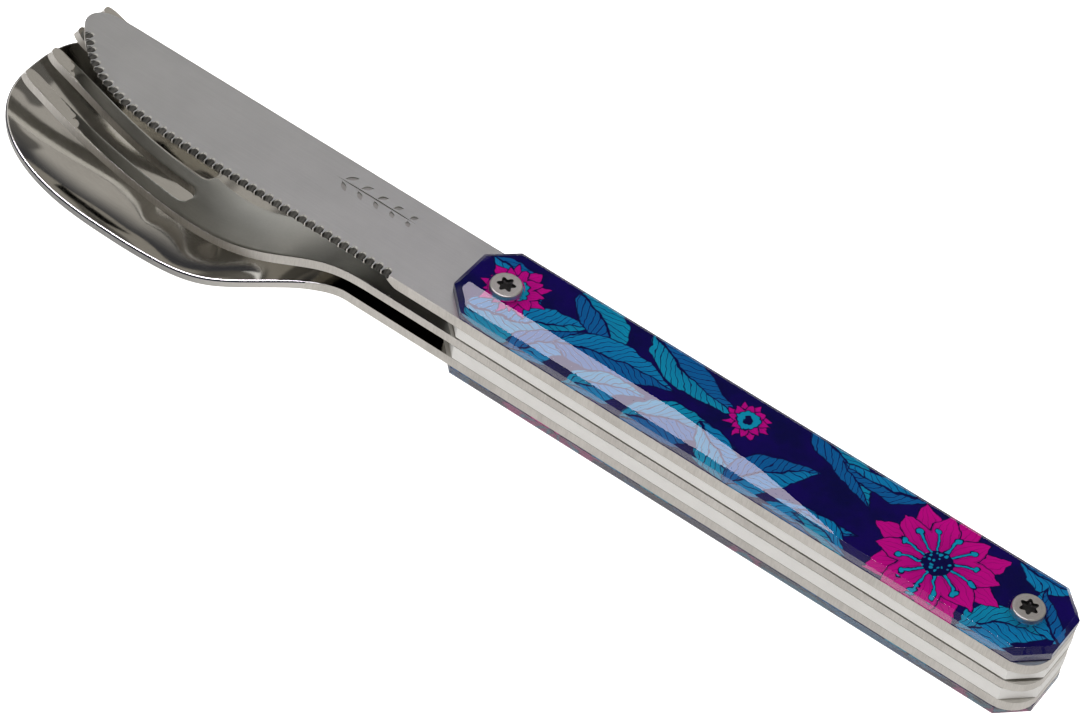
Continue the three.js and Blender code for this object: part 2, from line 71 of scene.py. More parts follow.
SCALE_LOW, SCALE_HIGH = box_mm("knife_scale")
START_X = SCALE_LOW.x
BUTT_X = SCALE_HIGH.x
HALF_WIDTH = SCALE_HIGH.y
KNIFE_LOW, KNIFE_HIGH = box_mm("knife")
SPOON_SPACER_LOW, SPOON_SPACER_HIGH = box_mm("spoon_spacer")
SPOON_SCALE_LOW = box_mm("spoon_scale")[0]
BOWL_LOW, BOWL_HIGH = box_mm("spoon")
FORK_LOW = box_mm("fork")[0]
BOND_LINE = 0.02
FORK_TO_SPOON_GAP = 0.15
SPOON_TOP = SPOON_SPACER_LOW.z - BOND_LINE
SPOON_SHEET = 1.9
FORK_SHEET = 1.75
FORK_TOP = SPOON_SPACER_HIGH.z + FORK_TO_SPOON_GAP + FORK_SHEET
CORNER_CUT = 4.45
TANG_CORNER_RADIUS = 5.5
SCALE_WALL = 1.4
SCALE_BEVEL = 0.85
SCREW_HEAD_RADIUS = 2.7
SCREW_HEAD_HEIGHT = 1.2
SCREW_SHANK_RADIUS = 1.45
COUNTERBORE_RADIUS = 3.05
COUNTERBORE_DEPTH = 0.6
INSERT_BARREL_RADIUS = 2.1
INSERT_FLANGE_RADIUS = 3.4
INSERT_FLANGE = 0.6
MAGNET_RADIUS = 4.0
MAGNET_HEIGHT = 1.6
HOLE_CLEARANCE = 0.1
FILM_INSET = 0.04
FILM_BOND = 0.04
OCTAGON_SIDES = 8
ROUND = 96


def centre_x(node):
    low, high = box_mm(node)
    return (low.x + high.x) / 2


SCREW_XS = {end: centre_x(f"knife_screw_{end}") for end in ("front", "rear")}
MAGNET_XS = {end: centre_x(f"knife_magnet_{end}") for end in ("front", "rear")}

# ---- camera ----------------------------------------------------------------------------------------

CAMERA_AZIMUTH = math.radians(26.06)
CAMERA_ELEVATION = math.radians(47.36)
CAMERA_ROLL = math.radians(12.07)
CAMERA_DISTANCE = 639.8
CAMERA_TARGET = Vector((7.35, -7.06, 20.08))
CAMERA_LENS = 134.58


def camera_axes():
    """The camera's right, up and back directions."""
    az, el, roll = CAMERA_AZIMUTH, CAMERA_ELEVATION, CAMERA_ROLL
    right = Vector((math.cos(az), math.sin(az), 0))
    back = Vector((math.sin(az) * math.cos(el), -math.cos(az) * math.cos(el), math.sin(el)))
    up = back.cross(right)
    rolled_right = math.cos(roll) * right + math.sin(roll) * up
    rolled_up = math.cos(roll) * up - math.sin(roll) * right
    return rolled_right, rolled_up, back


def add_camera():
    right, up, back = camera_axes()
    data = bpy.data.cameras.new("camera")
    data.lens = CAMERA_LENS
    data.sensor_width = 36
    data.clip_start = 0.01
    data.clip_end = 20
    camera = bpy.data.objects.new("camera", data)
    rotation = Matrix((right, up, back)).transposed().to_4x4()
    camera.matrix_world = in_frame(CAMERA_TARGET + back * CAMERA_DISTANCE) @ rotation
    SCENE.collection.objects.link(camera)
    SCENE.camera = camera


add_camera()

# ---- node helpers ----------------------------------------------------------------------------------


class Nodes:
    """Short forms for building a node tree."""

    def __init__(self, tree):
        self.tree = tree

    def add(self, kind, **settings):
        node = self.tree.nodes.new(kind)
        for key, value in settings.items():
            setattr(node, key, value)
        return node

    def feed(self, socket, value):
        if isinstance(value, bpy.types.NodeSocket):
            self.tree.links.new(value, socket)
        else:
            socket.default_value = value

    def filled(self, node, *values):
        """The node, with values fed to its first sockets."""
        for socket, value in zip(node.inputs, values):
            self.feed(socket, value)
        return node

    def math(self, operation, *values, clamp=False):
        node = self.add("ShaderNodeMath", operation=operation, use_clamp=clamp)
        return self.filled(node, *values).outputs[0]

    def times(self, *values):
        return self.math("MULTIPLY", *values)

    def minus(self, *values):
        return self.math("SUBTRACT", *values)

    def most(self, *values):
        return self.math("MAXIMUM", *values)

    def absolute(self, value):
        return self.math("ABSOLUTE", value)

    def scaled_to(self, value, low, high):
        """A value from 0 to 1, scaled to run from low to high."""
        return self.math("MULTIPLY_ADD", value, high - low, low)

    def blend(self, first, share, second):
        """The sum of two values, with a share for the first and the rest for the second."""
        return self.math("ADD", self.times(first, share), self.times(second, 1 - share))

    def vector(self, operation, *values):
        node = self.filled(self.add("ShaderNodeVectorMath", operation=operation), *values)
        return node.outputs["Value" if operation == "LENGTH" else "Vector"]

    def scaled(self, vector, factors):
        return self.vector("MULTIPLY", vector, factors)

    def axes(self, vector):
        return self.filled(self.add("ShaderNodeSeparateXYZ"), vector).outputs[:]

    def mix(self, factor, first, second):
        node = self.add("ShaderNodeMix", data_type="RGBA")
        for index, value in ((0, factor), (6, first), (7, second)):
            self.feed(node.inputs[index], value)
        return node.outputs[2]

    def step(self, value, low, high, out_low=0.0, out_high=1.0):
        """A smooth step of value from out_low to out_high between low and high."""
        node = self.add("ShaderNodeMapRange", interpolation_type="SMOOTHSTEP")
        return self.filled(node, value, low, high, out_low, out_high).outputs[0]

    def noise(self, vector, scale, detail=2.0, roughness=0.5, distortion=0.0):
        node = self.add("ShaderNodeTexNoise")
        values = {"Vector": vector, "Scale": scale, "Detail": detail, "Roughness": roughness,
                  "Distortion": distortion}
        for name, value in values.items():
            self.feed(node.inputs[name], value)
        return node.outputs["Fac"]

    def bump(self, shader, height, depth_mm, strength):
        """Gives a shader bumps of a depth in millimetres."""
        node = self.add("ShaderNodeBump")
        for name, value in {"Strength": strength, "Distance": depth_mm * MM, "Height": height}.items():
            self.feed(node.inputs[name], value)
        self.feed(shader.inputs["Normal"], node.outputs["Normal"])

    def mottle(self, shader, tone, dark, light):
        """Colours a shader between a dark and a light colour, by a noise."""
        self.feed(shader.inputs["Base Color"], self.mix(self.step(tone, 0.3, 0.7), dark, light))

    def choose(self, output, factor, first, second):
        """Surfaces an output with the first shader, or the second where the factor is 1."""
        mixer = self.filled(self.add("ShaderNodeMixShader"), factor, first.outputs[0], second.outputs[0])
        self.feed(output.inputs["Surface"], mixer.outputs[0])


def new_material(name, **uniform):
    """A material with a principled shader, whose uniform settings are given by their sockets' names."""
    material = bpy.data.materials.new(name)
    material.use_nodes = True
    tree = material.node_tree
    tree.nodes.clear()
    nodes = Nodes(tree)
    output = nodes.add("ShaderNodeOutputMaterial")
    shader = nodes.add("ShaderNodeBsdfPrincipled")
    nodes.feed(output.inputs["Surface"], shader.outputs[0])
    for socket, value in uniform.items():
        shader.inputs[socket.replace("_", " ")].default_value = value
    return material, nodes, shader, output


def place_mm(nodes):
    """The point in the piece's own space, in millimetres."""
    coords = nodes.add("ShaderNodeTexCoord")
    return nodes.scaled(coords.outputs["Object"], (1 / MM,) * 3)


def grey(value):
    return (value, value, value, 1)


# ---- steel, plastic and brass ----------------------------------------------------------------------


def steel(name, dark, light, metal_roughness, grain_stretch, grain_depth, smudge=0.5):
    """Steel with a directional grain, faint smudges and a roughness that follows both."""
    material, nodes, shader, _ = new_material(name, Metallic=1.0)
    point = place_mm(nodes)
    grain = nodes.noise(nodes.scaled(point, grain_stretch), 1.0, 4.0, 0.62)
    cloud = nodes.noise(point, 0.11, 3.0, 0.55)
    nodes.mottle(shader, nodes.blend(grain, 0.5, cloud), dark, light)
    film = nodes.step(nodes.noise(point, 0.35, 4.0, 0.6, 0.6), 0.45, 0.75)
    spread = nodes.blend(grain, 1 - smudge, film)
    nodes.feed(shader.inputs["Roughness"], nodes.scaled_to(spread, *metal_roughness))
    nodes.bump(shader, grain, grain_depth, 0.6)
    return material


POLISHED = steel("polished_steel", (0.60, 0.585, 0.55, 1), (0.68, 0.665, 0.63, 1), (0.035, 0.10),
                 (0.5, 5.0, 5.0), 0.0006)
SATIN = steel("satin_steel", (0.62, 0.64, 0.645, 1), (0.70, 0.72, 0.725, 1), (0.32, 0.40),
              (0.12, 9.0, 9.0), 0.003, 0.25)
SHEARED = steel("sheared_edge", (0.47, 0.45, 0.42, 1), (0.66, 0.635, 0.60, 1), (0.30, 0.48),
                (7.0, 7.0, 0.5), 0.012, 0.1)
# The rounded rim's steel is painted darker than the bowl's: a painted dark reflection on the rim's wall.
ROUNDED = steel("rounded_rim", grey(0.22), (0.34, 0.335, 0.325, 1), (0.05, 0.14), (0.6, 3.0, 3.0), 0.001, 0.3)
# The ground flutes are painted near black: painted shade in the serrations' hollows.
SHADED_FLUTES = steel("shaded_ground_flutes", grey(0.07), (0.26, 0.26, 0.25, 1), (0.12, 0.24), (9.0, 0.6, 0.6), 0.004, 0.1)
ENGRAVED = steel("engraved_line", (0.42, 0.42, 0.41, 1), (0.62, 0.62, 0.61, 1), (0.30, 0.45),
                 (6.0, 6.0, 6.0), 0.006, 0.1)
# Painted highlight: a near-white colour laid on steel corners, rim crests and flute lips.
PAINTED_HIGHLIGHT = (0.97, 0.97, 0.96, 1)
# Painted dark reflection on the shoulder of the spoon's rim.
PAINTED_DARK_SHOULDER = (0.05, 0.055, 0.085, 1)
RIM_PALE = (0.58, 0.56, 0.53, 1)
PALE_RIM_XS = (-62.0, -38.0)


def opened(material):
    """A finished material's nodes, its shader's colour socket and the socket that feeds it."""
    shader = next(node for node in material.node_tree.nodes if node.type == "BSDF_PRINCIPLED")
    target = shader.inputs["Base Color"]
    return Nodes(material.node_tree), target, target.links[0].from_socket


def looks_up(nodes):
    """1 where a face looks straight up, 0 on a wall."""
    return nodes.axes(nodes.add("ShaderNodeTexCoord").outputs["Normal"])[2]


def paint_corner_highlight(material):
    """Paints a near-white highlight along the rounded corners of an edge."""
    nodes, target, colour = opened(material)
    off_corner = nodes.absolute(nodes.minus(looks_up(nodes), 0.66))
    nodes.feed(target, nodes.mix(nodes.step(off_corner, 0.30, 0.22), colour, PAINTED_HIGHLIGHT))


def paint_crest_highlight(material):
    """A painted highlight along a rim's crest, over a painted dark reflection on its shoulder; the rim's wall
    turns pale towards the neck.
    """
    nodes, target, colour = opened(material)
    wall = nodes.mix(nodes.step(nodes.axes(place_mm(nodes))[0], *PALE_RIM_XS), colour, RIM_PALE)
    up = looks_up(nodes)
    shoulder = nodes.mix(nodes.step(up, 0.20, 0.42), wall, PAINTED_DARK_SHOULDER)
    nodes.feed(target, nodes.mix(nodes.step(up, 0.78, 0.86), shoulder, PAINTED_HIGHLIGHT))


def paint_lip_highlight(material, height):
    """Paints a highlight on a ground face within a hair of the height where it meets the blade's upper face.
    """
    nodes, target, colour = opened(material)
    lip = nodes.step(nodes.axes(place_mm(nodes))[2], height - 0.24, height - 0.12)
    nodes.feed(target, nodes.mix(lip, colour, PAINTED_HIGHLIGHT))


# Painted highlights and painted dark reflections on the steel finishes.
paint_corner_highlight(SHEARED)
paint_crest_highlight(ROUNDED)
paint_lip_highlight(SHADED_FLUTES, KNIFE_HIGH.z)


def turned(name, dark, light, metal_roughness):
    """A lathe-turned face: fine rings about the piece's own axis."""
    material, nodes, shader, _ = new_material(name, Metallic=1.0)
    point = place_mm(nodes)
    radius = nodes.vector("LENGTH", nodes.scaled(point, (1, 1, 0)))
    rings = nodes.add("ShaderNodeTexNoise", noise_dimensions="1D")
    for socket, value in {"W": radius, "Scale": 9.0, "Detail": 5.0}.items():
        nodes.feed(rings.inputs[socket], value)
    ring = rings.outputs["Fac"]
    tone = nodes.blend(ring, 0.6, nodes.noise(point, 5.0, 4.0, 0.7))
    nodes.mottle(shader, tone, dark, light)
    nodes.feed(shader.inputs["Roughness"], nodes.scaled_to(tone, *metal_roughness))
    nodes.bump(shader, ring, 0.006, 0.7)
    return material


SCREW_METAL = turned("screw_steel", (0.50, 0.49, 0.47, 1), (0.72, 0.71, 0.68, 1), (0.24, 0.38))
# Painted shade: the screws' drive recess is coloured near black.
RECESS_SHADE = turned("screw_recess_painted_shade", grey(0.02), (0.07, 0.07, 0.068, 1), (0.35, 0.5))
BRASS = turned("insert_brass", (0.55, 0.36, 0.13, 1), (0.78, 0.56, 0.26, 1), (0.22, 0.40))
NICKEL = turned("magnet_nickel", (0.50, 0.50, 0.49, 1), (0.66, 0.66, 0.65, 1), (0.12, 0.28))


def white_plastic():
    """Moulded white plastic: a fine skin texture and a little mottling."""
    material, nodes, shader, _ = new_material("white_plastic")
    point = place_mm(nodes)
    cloud = nodes.noise(point, 0.25, 3.0, 0.5)
    nodes.mottle(shader, cloud, (0.93, 0.925, 0.91, 1), (0.97, 0.965, 0.95, 1))
    skin = nodes.noise(point, 11.0, 3.0, 0.6)
    nodes.feed(shader.inputs["Roughness"], nodes.scaled_to(skin, 0.36, 0.54))
    nodes.bump(shader, skin, 0.008, 0.4)
    return material


WHITE = white_plastic()


def clear_acrylic(name, clear_share, roughness, mark_roughness):
    """Clear acrylic with faint handling marks. Lamps pass through it to light the print."""
    material, nodes, shader, output = new_material(
        name, Base_Color=(0.965, 0.965, 1.0, 1), Transmission_Weight=clear_share, IOR=1.49)
    point = place_mm(nodes)
    scratch = nodes.noise(nodes.scaled(point, (0.5, 7.0, 7.0)), 1.0, 5.0, 0.7)
    smear = nodes.noise(point, 0.4, 3.0, 0.6)
    marks = nodes.times(nodes.step(scratch, 0.62, 0.74), nodes.step(smear, 0.5, 0.7))
    nodes.feed(shader.inputs["Roughness"], nodes.scaled_to(marks, roughness, roughness + mark_roughness))
    passed = nodes.add("ShaderNodeBsdfTransparent")
    passed.inputs["Color"].default_value = (0.93, 0.93, 0.96, 1)
    path = nodes.add("ShaderNodeLightPath")
    nodes.choose(output, path.outputs["Is Shadow Ray"], shader, passed)
    return material


CLEAR = clear_acrylic("clear_scale", 1.0, 0.0, 0.035)
SAWN = clear_acrylic("clear_scale_wall", 0.86, 0.10, 0.12)

# ---- the print: leaves and flowers drawn by node groups --------------------------------------------

INDIGO = (0.006, 0.001, 0.090, 1)
NAVY = (0.002, 0.002, 0.055, 1)
CERULEAN = (0.003, 0.225, 0.460, 1)
AZURE = (0.003, 0.115, 0.330, 1)
TEAL = (0.003, 0.285, 0.450, 1)
MAGENTA = (0.540, 0.001, 0.230, 1)
PLUM = (0.400, 0.001, 0.190, 1)
SOFT_EDGE = 0.05


def motif_group(name, sizes, colours):
    """A node group that draws a motif over the colour Ground. It gives its tree, nodes, inputs and
    result, and the point as seen from the motif's base and angle."""
    tree = bpy.data.node_groups.new(name, "ShaderNodeTree")
    inputs = [("Ground", "Color"), ("Point", "Vector"), ("Base", "Vector"), ("Angle", "Vector")]
    inputs += [(label, "Float") for label in sizes] + [(label, "Color") for label in colours]
    for label, kind in inputs:
        tree.interface.new_socket(label, in_out="INPUT", socket_type=f"NodeSocket{kind}")
    tree.interface.new_socket("Color", in_out="OUTPUT", socket_type="NodeSocketColor")
    nodes = Nodes(tree)
    given = nodes.add("NodeGroupInput").outputs
    result = nodes.add("NodeGroupOutput").inputs[0]
    mapping = nodes.add("ShaderNodeMapping", vector_type="TEXTURE")
    for socket, label in (("Vector", "Point"), ("Location", "Base"), ("Rotation", "Angle")):
        nodes.feed(mapping.inputs[socket], given[label])
    return tree, nodes, given, result, mapping.outputs[0]


def spokes(nodes, local, count):
    """A point's distance from the middle, and how far aside it is from the nearest of some spokes."""
    x, y, _ = nodes.axes(local)
    radius = nodes.vector("LENGTH", local)
    turns = nodes.math("DIVIDE", nodes.times(nodes.math("ARCTAN2", y, x), count), 2 * math.pi)
    phase = nodes.minus(nodes.math("FRACT", turns), 0.5)
    arc = nodes.math("DIVIDE", nodes.times(radius, 2 * math.pi), count)
    return radius, nodes.absolute(nodes.times(phase, arc))


def pointed_half(nodes, along, power, width):
    """Half the width of a leaf or petal, pointed at both ends and widest where the power puts it."""
    return nodes.times(nodes.math("SINE", nodes.times(nodes.math("POWER", along, power), math.pi)), width)


def share_of_half(nodes, aside, half):
    return nodes.math("DIVIDE", aside, nodes.most(half, SOFT_EDGE))


def leaf_group():
    """Draws one curved, pointed leaf with a midrib, side veins and a dark outline."""
    tree, nodes, given, result, local = motif_group("leaf", ("Length", "Width", "Bend"), ("Left", "Right"))
    x, y, _ = nodes.axes(local)
    along = nodes.math("DIVIDE", x, given["Length"], clamp=True)
    arc = nodes.times(along, nodes.minus(1.0, along))
    across = nodes.minus(y, nodes.times(arc, given["Bend"]))
    half = pointed_half(nodes, along, 0.72, given["Width"])
    aside = nodes.absolute(across)
    inside = nodes.minus(half, aside)
    outline = nodes.step(inside, 0.40, 0.20)
    rib_half = nodes.math("MULTIPLY_ADD", along, -0.17, 0.24)
    rib = nodes.step(nodes.minus(aside, rib_half), 0.06, -0.03)
    run = nodes.math("MULTIPLY_ADD", aside, -1.15, x)
    beat = nodes.math("PINGPONG", nodes.math("DIVIDE", run, 1.45), 0.5)
    vein = nodes.step(beat, 0.10, 0.04)
    faint = nodes.step(nodes.absolute(nodes.minus(beat, 0.36)), 0.04, 0.0, 0.0, 0.45)
    tone = nodes.mix(nodes.step(across, -0.08, 0.08), given["Right"], given["Left"])
    near_rib = nodes.step(share_of_half(nodes, aside, half), 0.0, 1.0, 0.28, 0.0)
    lines = nodes.most(nodes.most(outline, rib), nodes.most(vein, faint))
    drawn = nodes.mix(lines, nodes.mix(near_rib, tone, AZURE), NAVY)
    nodes.feed(result, nodes.mix(nodes.step(inside, 0.0, SOFT_EDGE), given["Ground"], drawn))
    return tree


def petal_group():
    """Draws a ring of pointed petals with fine streaks."""
    tree, nodes, given, result, local = motif_group("petals", ("Length", "Width", "Count"), ("Tip", "Root"))
    radius, aside = spokes(nodes, local, given["Count"])
    along = nodes.math("DIVIDE", radius, given["Length"], clamp=True)
    half = pointed_half(nodes, along, 1.15, given["Width"])
    inside = nodes.minus(half, aside)
    outline = nodes.step(inside, 0.36, 0.18)
    streaks = nodes.math("PINGPONG", nodes.times(share_of_half(nodes, aside, half), 2.4), 0.5)
    streak = nodes.step(streaks, 0.07, 0.02, 0.0, 0.55)
    tone = nodes.mix(nodes.step(along, 0.15, 0.85), given["Root"], given["Tip"])
    drawn = nodes.mix(nodes.most(outline, streak), tone, NAVY)
    nodes.feed(result, nodes.mix(nodes.step(inside, 0.0, SOFT_EDGE), given["Ground"], drawn))
    return tree


def centre_group():
    """Draws a flower's middle: a disc of small grains and a ring of stamens with round heads."""
    tree, nodes, given, result, local = motif_group(
        "flower_centre", ("Disc", "Reach", "Count"), ("Grain", "Field"))
    radius, aside = spokes(nodes, local, given["Count"])
    ahead = nodes.minus(radius, given["Reach"])
    short = nodes.step(ahead, -SOFT_EDGE, SOFT_EDGE, 1.0, 0.0)
    squares = nodes.math("ADD", nodes.math("POWER", aside, 2.0), nodes.math("POWER", ahead, 2.0))
    head = nodes.math("SQRT", squares)
    stem_edge = nodes.times(nodes.step(aside, 0.36, 0.28), short)
    stem = nodes.times(nodes.step(aside, 0.20, 0.13), short)
    dark = nodes.most(stem_edge, nodes.step(head, 0.74, 0.66))
    light = nodes.most(stem, nodes.step(head, 0.54, 0.46))
    drawn = nodes.mix(light, nodes.mix(dark, given["Ground"], NAVY), given["Grain"])
    cells = nodes.add("ShaderNodeTexVoronoi")
    for socket, value in {"Vector": local, "Scale": 1.15, "Randomness": 0.55}.items():
        nodes.feed(cells.inputs[socket], value)
    disc = nodes.mix(nodes.step(cells.outputs["Distance"], 0.40, 0.30), given["Field"], given["Grain"])
    in_disc = nodes.step(radius, given["Disc"], nodes.minus(given["Disc"], 0.12))
    nodes.feed(result, nodes.mix(in_disc, drawn, disc))
    return tree


LEAF = leaf_group()
PETALS = petal_group()
CENTRE = centre_group()

# Each leaf: base point along and across the handle from the front end's middle, direction in degrees,
# length, half width, bend, and the colours of its two halves.
LEAVES = [
    (1.0, 5.5, -20, 14, 2.6, 5, AZURE, CERULEAN),
    (3.5, -6.0, 28, 21, 4.6, -7, CERULEAN, TEAL),
    (16.0, 8.5, -38, 17, 4.0, 8, TEAL, AZURE),
    (13.0, -8.8, 50, 15, 3.2, -6, AZURE, CERULEAN),
    (19.0, -3.5, 12, 21, 4.4, 6, CERULEAN, AZURE),
    (24.0, -9.5, 26, 15, 2.8, 4, TEAL, CERULEAN),
    (30.0, 9.5, -16, 22, 3.8, -6, AZURE, TEAL),
    (35.0, -8.5, 18, 20, 3.8, 7, TEAL, AZURE),
    (46.0, -1.0, -24, 16, 3.2, -6, CERULEAN, TEAL),
    (55.0, -10.0, 46, 17, 3.8, 6, AZURE, CERULEAN),
    (60.0, 9.5, -28, 18, 3.4, 7, TEAL, AZURE),
    (62.0, -8.0, 14, 16, 2.8, -5, CERULEAN, AZURE),
    (82.0, 9.0, -172, 15, 2.6, 5, AZURE, CERULEAN),
    (78.0, -9.0, 168, 12, 2.2, -5, TEAL, CERULEAN),
    (99.0, 8.5, 10, 13, 2.8, -6, AZURE, CERULEAN),
    (98.0, -9.0, 30, 15, 4.2, 6, TEAL, CERULEAN),
    (112.0, -1.5, 130, 11, 2.4, 5, CERULEAN, AZURE),
]

# Each flower: centre along and across, petal length, half width, petals in a ring, and whether it
# has stamens.
FLOWERS = [
    (8.0, 1.5, 6.2, 1.25, 9, False),
    (51.5, 3.6, 4.2, 0.95, 8, False),
    (89.5, -0.6, 12.2, 2.7, 8, True),
]


def printed_film(name, flipped):
    """The print on a film. The spoon's is turned end for end, so that the two scales differ."""
    material, nodes, shader, _ = new_material(name, Specular_IOR_Level=0.0)
    raw = place_mm(nodes)
    if flipped:
        raw = nodes.scaled(raw, (-1, -1, 1))
    offset = BUTT_X if flipped else -START_X
    flat = nodes.vector("ADD", nodes.scaled(raw, (1, 1, 0)), (offset, 0, 0))
    wobble = nodes.add("ShaderNodeTexNoise")
    for socket, value in {"Vector": flat, "Scale": 0.28, "Detail": 3.0}.items():
        nodes.feed(wobble.inputs[socket], value)
    shift = nodes.vector("SUBTRACT", wobble.outputs["Color"], (0.5, 0.5, 0.5))
    point = nodes.vector("ADD", flat, nodes.scaled(shift, (2.4, 2.4, 0)))
    colour = nodes.mix(nodes.step(nodes.noise(flat, 0.12, 3.0), 0.35, 0.65), INDIGO, NAVY)

    def draw(tree, *values):
        node = nodes.add("ShaderNodeGroup", node_tree=tree)
        return nodes.filled(node, colour, point, *values).outputs[0]

    for x, y, degrees, length, width, bend, left, right in LEAVES:
        turn = (0, 0, math.radians(degrees))
        colour = draw(LEAF, (x, y, 0), turn, length, width, bend, left, right)
    for x, y, length, width, count, stamens in FLOWERS:
        base = (x, y, 0)
        for ring, share in ((0, 1.0), (math.pi / count, 0.84)):
            colour = draw(PETALS, base, (0, 0, ring + 0.3), length * share, width, count, MAGENTA, PLUM)
        reach = length * (0.52 if stamens else 0.30)
        colour = draw(CENTRE, base, (0, 0, 0.2), length * 0.21, reach, count * 3 // 2, TEAL, NAVY)
    nodes.feed(shader.inputs["Base Color"], colour)
    grit = nodes.noise(flat, 9.0, 2.0)
    nodes.feed(shader.inputs["Roughness"], nodes.scaled_to(grit, 0.42, 0.57))
    nodes.bump(shader, grit, 0.002, 0.3)
    return material


KNIFE_PRINT = printed_film("knife_print", False)
SPOON_PRINT = printed_film("spoon_print", True)

# Places in a piece's list of materials: its faces, its sheared edge, and what is cut into it.
FACE, EDGE, CUT, ENGRAVING = range(4)

# ---- mesh helpers ----------------------------------------------------------------------------------


def link_mesh(name, bm, materials):
    mesh = bpy.data.meshes.new(name)
    bm.to_mesh(mesh)
    bm.free()
    for material in materials:
        mesh.materials.append(material)
    piece = bpy.data.objects.new(name, mesh)
    piece.matrix_world = in_frame((0, 0, 0))
    SCENE.collection.objects.link(piece)
    return piece


def solid_from(points, faces, slots=None):
    """A bmesh in metres from points in millimetres, with outward normals."""
    bm = bmesh.new()
    verts = [bm.verts.new(Vector(p) * MM) for p in points]
    for i, face in enumerate(faces):
        made = bm.faces.new([verts[k] for k in face])
        made.material_index = slots[i] if slots else 0
    return bm


def ring_loft(rings, slot=0):
    """Points and faces of a closed solid through rings of equal length, lowest first."""
    count = len(rings[0])
    points = [p for ring in rings for p in ring]
    faces = []
    for level in range(len(rings) - 1):
        base = level * count
        for i in range(count):
            j = (i + 1) % count
            faces.append((base + i, base + j, base + count + j, base + count + i))
    faces.append(tuple(reversed(range(count))))
    top = (len(rings) - 1) * count
    faces.append(tuple(range(top, top + count)))
    return points, faces, [slot] * len(faces)


def join_solids(parts):
    """One bmesh from several (points, faces, slots)."""
    points, faces, slots = [], [], []
    for part_points, part_faces, part_slots in parts:
        base = len(points)
        points += list(part_points)
        faces += [tuple(base + k for k in face) for face in part_faces]
        slots += list(part_slots)
    return solid_from(points, faces, slots)


def octagon_ring(z, inset=0.0):
    """The octagonal outline of scales, films and spacers at a height, counter-clockwise."""
    half = HALF_WIDTH - inset
    cut = CORNER_CUT - inset * (2 - math.sqrt(2))
    x0, x1 = START_X + inset, BUTT_X - inset
    outline = [
        (x0 + cut, -half), (x1 - cut, -half), (x1, cut - half), (x1, half - cut),
        (x1 - cut, half), (x0 + cut, half), (x0, half - cut), (x0, cut - half),
    ]
    return [(x, y, z) for x, y in outline]


def circle_ring(x, radius, z):
    angles = [2 * math.pi * k / ROUND for k in range(ROUND)]
    return [(x + radius * math.cos(a), radius * math.sin(a), z) for a in angles]


def discs(places, radius, low, high):
    """A disc at each X of some named places."""
    return [ring_loft([circle_ring(x, radius, z) for z in (low, high)]) for x in places.values()]


def carve(piece, *cutter_groups):
    """Cuts groups of solids out of a piece. The solids within one group are apart from each other."""
    for group in cutter_groups:
        cutter = link_mesh("cutter", join_solids(group), [])
        modifier = piece.modifiers.new("cut", "BOOLEAN")
        modifier.operation = "DIFFERENCE"
        modifier.solver = "EXACT"
        modifier.object = cutter
        settle(piece)
        bpy.data.objects.remove(cutter)


def settle(piece):
    """Makes a piece's modifiers part of its mesh."""
    graph = bpy.context.evaluated_depsgraph_get()
    mesh = bpy.data.meshes.new_from_object(piece.evaluated_get(graph))
    piece.modifiers.clear()
    piece.data = mesh


def soften(piece, width, angle=32, segments=2, slot=-1):
    """Rounds the sharp edges of a piece a little. The rounds take a material slot, or a neighbour's."""
    modifier = piece.modifiers.new("soften", "BEVEL")
    modifier.width = width * MM
    modifier.segments = segments
    modifier.limit_method = "ANGLE"
    modifier.angle_limit = math.radians(angle)
    modifier.use_clamp_overlap = True
    modifier.material = slot
    settle(piece)


def shade(piece, angle):
    """Smooth shading, with edges sharper than an angle kept sharp and large faces kept flat."""
    piece.data.polygons.foreach_set("use_smooth", [True] * len(piece.data.polygons))
    piece.data.set_sharp_from_angle(angle=math.radians(angle))
    modifier = piece.modifiers.new("flat_faces", "WEIGHTED_NORMAL")
    modifier.keep_sharp = True
    modifier.weight = 100
    settle(piece)


def hand_over(piece, body, slot, *nodes):
    """Says which body a piece rides on and which CAD nodes it stands for. Its slot, the finish it takes, is
    not used.
    """
    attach(piece, body)
    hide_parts(*nodes)


# ---- scales, films and spacers ---------------------------------------------------------------------


def scale_piece(name, body, low, up):
    """A clear scale. up is 1 where the bevelled face looks up and -1 where it looks down."""
    high = low + SCALE_WALL + SCALE_BEVEL
    if up > 0:
        levels = [(low, 0), (low + SCALE_WALL, 0), (high, SCALE_BEVEL)]
        wall = 0
    else:
        levels = [(low, SCALE_BEVEL), (low + SCALE_BEVEL, 0), (high, 0)]
        wall = 1
    points, faces, slots = ring_loft([octagon_ring(z, inset) for z, inset in levels])
    for k in range(OCTAGON_SIDES):
        slots[wall * OCTAGON_SIDES + k] = EDGE
    piece = link_mesh(name, solid_from(points, faces, slots), [CLEAR, SAWN])
    face = high if up > 0 else low
    bores = discs(SCREW_XS, SCREW_SHANK_RADIUS + HOLE_CLEARANCE, low - 1, high + 1)
    sinks = discs(SCREW_XS, COUNTERBORE_RADIUS, face - COUNTERBORE_DEPTH, face + COUNTERBORE_DEPTH)
    carve(piece, bores, sinks)
    soften(piece, 0.05)
    shade(piece, 25)
    hand_over(piece, body, "clear_scale", name.replace("_clear", ""))


scale_piece("knife_scale_clear", "knife_tool", SCALE_LOW.z, 1)
scale_piece("spoon_scale_clear", "spoon_tool", SPOON_SCALE_LOW.z, -1)


def film_piece(name, body, node, material, up):
    """A printed film. It reaches a hair into its scale, above or below it, without air between."""
    low, high = box_mm(node)
    levels = (low.z, high.z + FILM_BOND) if up > 0 else (low.z - FILM_BOND, high.z)
    rings = [octagon_ring(z, FILM_INSET) for z in levels]
    piece = link_mesh(name, solid_from(*ring_loft(rings)), [material])
    carve(piece, discs(SCREW_XS, SCREW_SHANK_RADIUS + HOLE_CLEARANCE, low.z - 1, high.z + 1))
    shade(piece, 30)
    hand_over(piece, body, "printed_film", node)


film_piece("knife_film_print", "knife_tool", "knife_film", KNIFE_PRINT, 1)
film_piece("spoon_film_print", "spoon_tool", "spoon_film", SPOON_PRINT, -1)


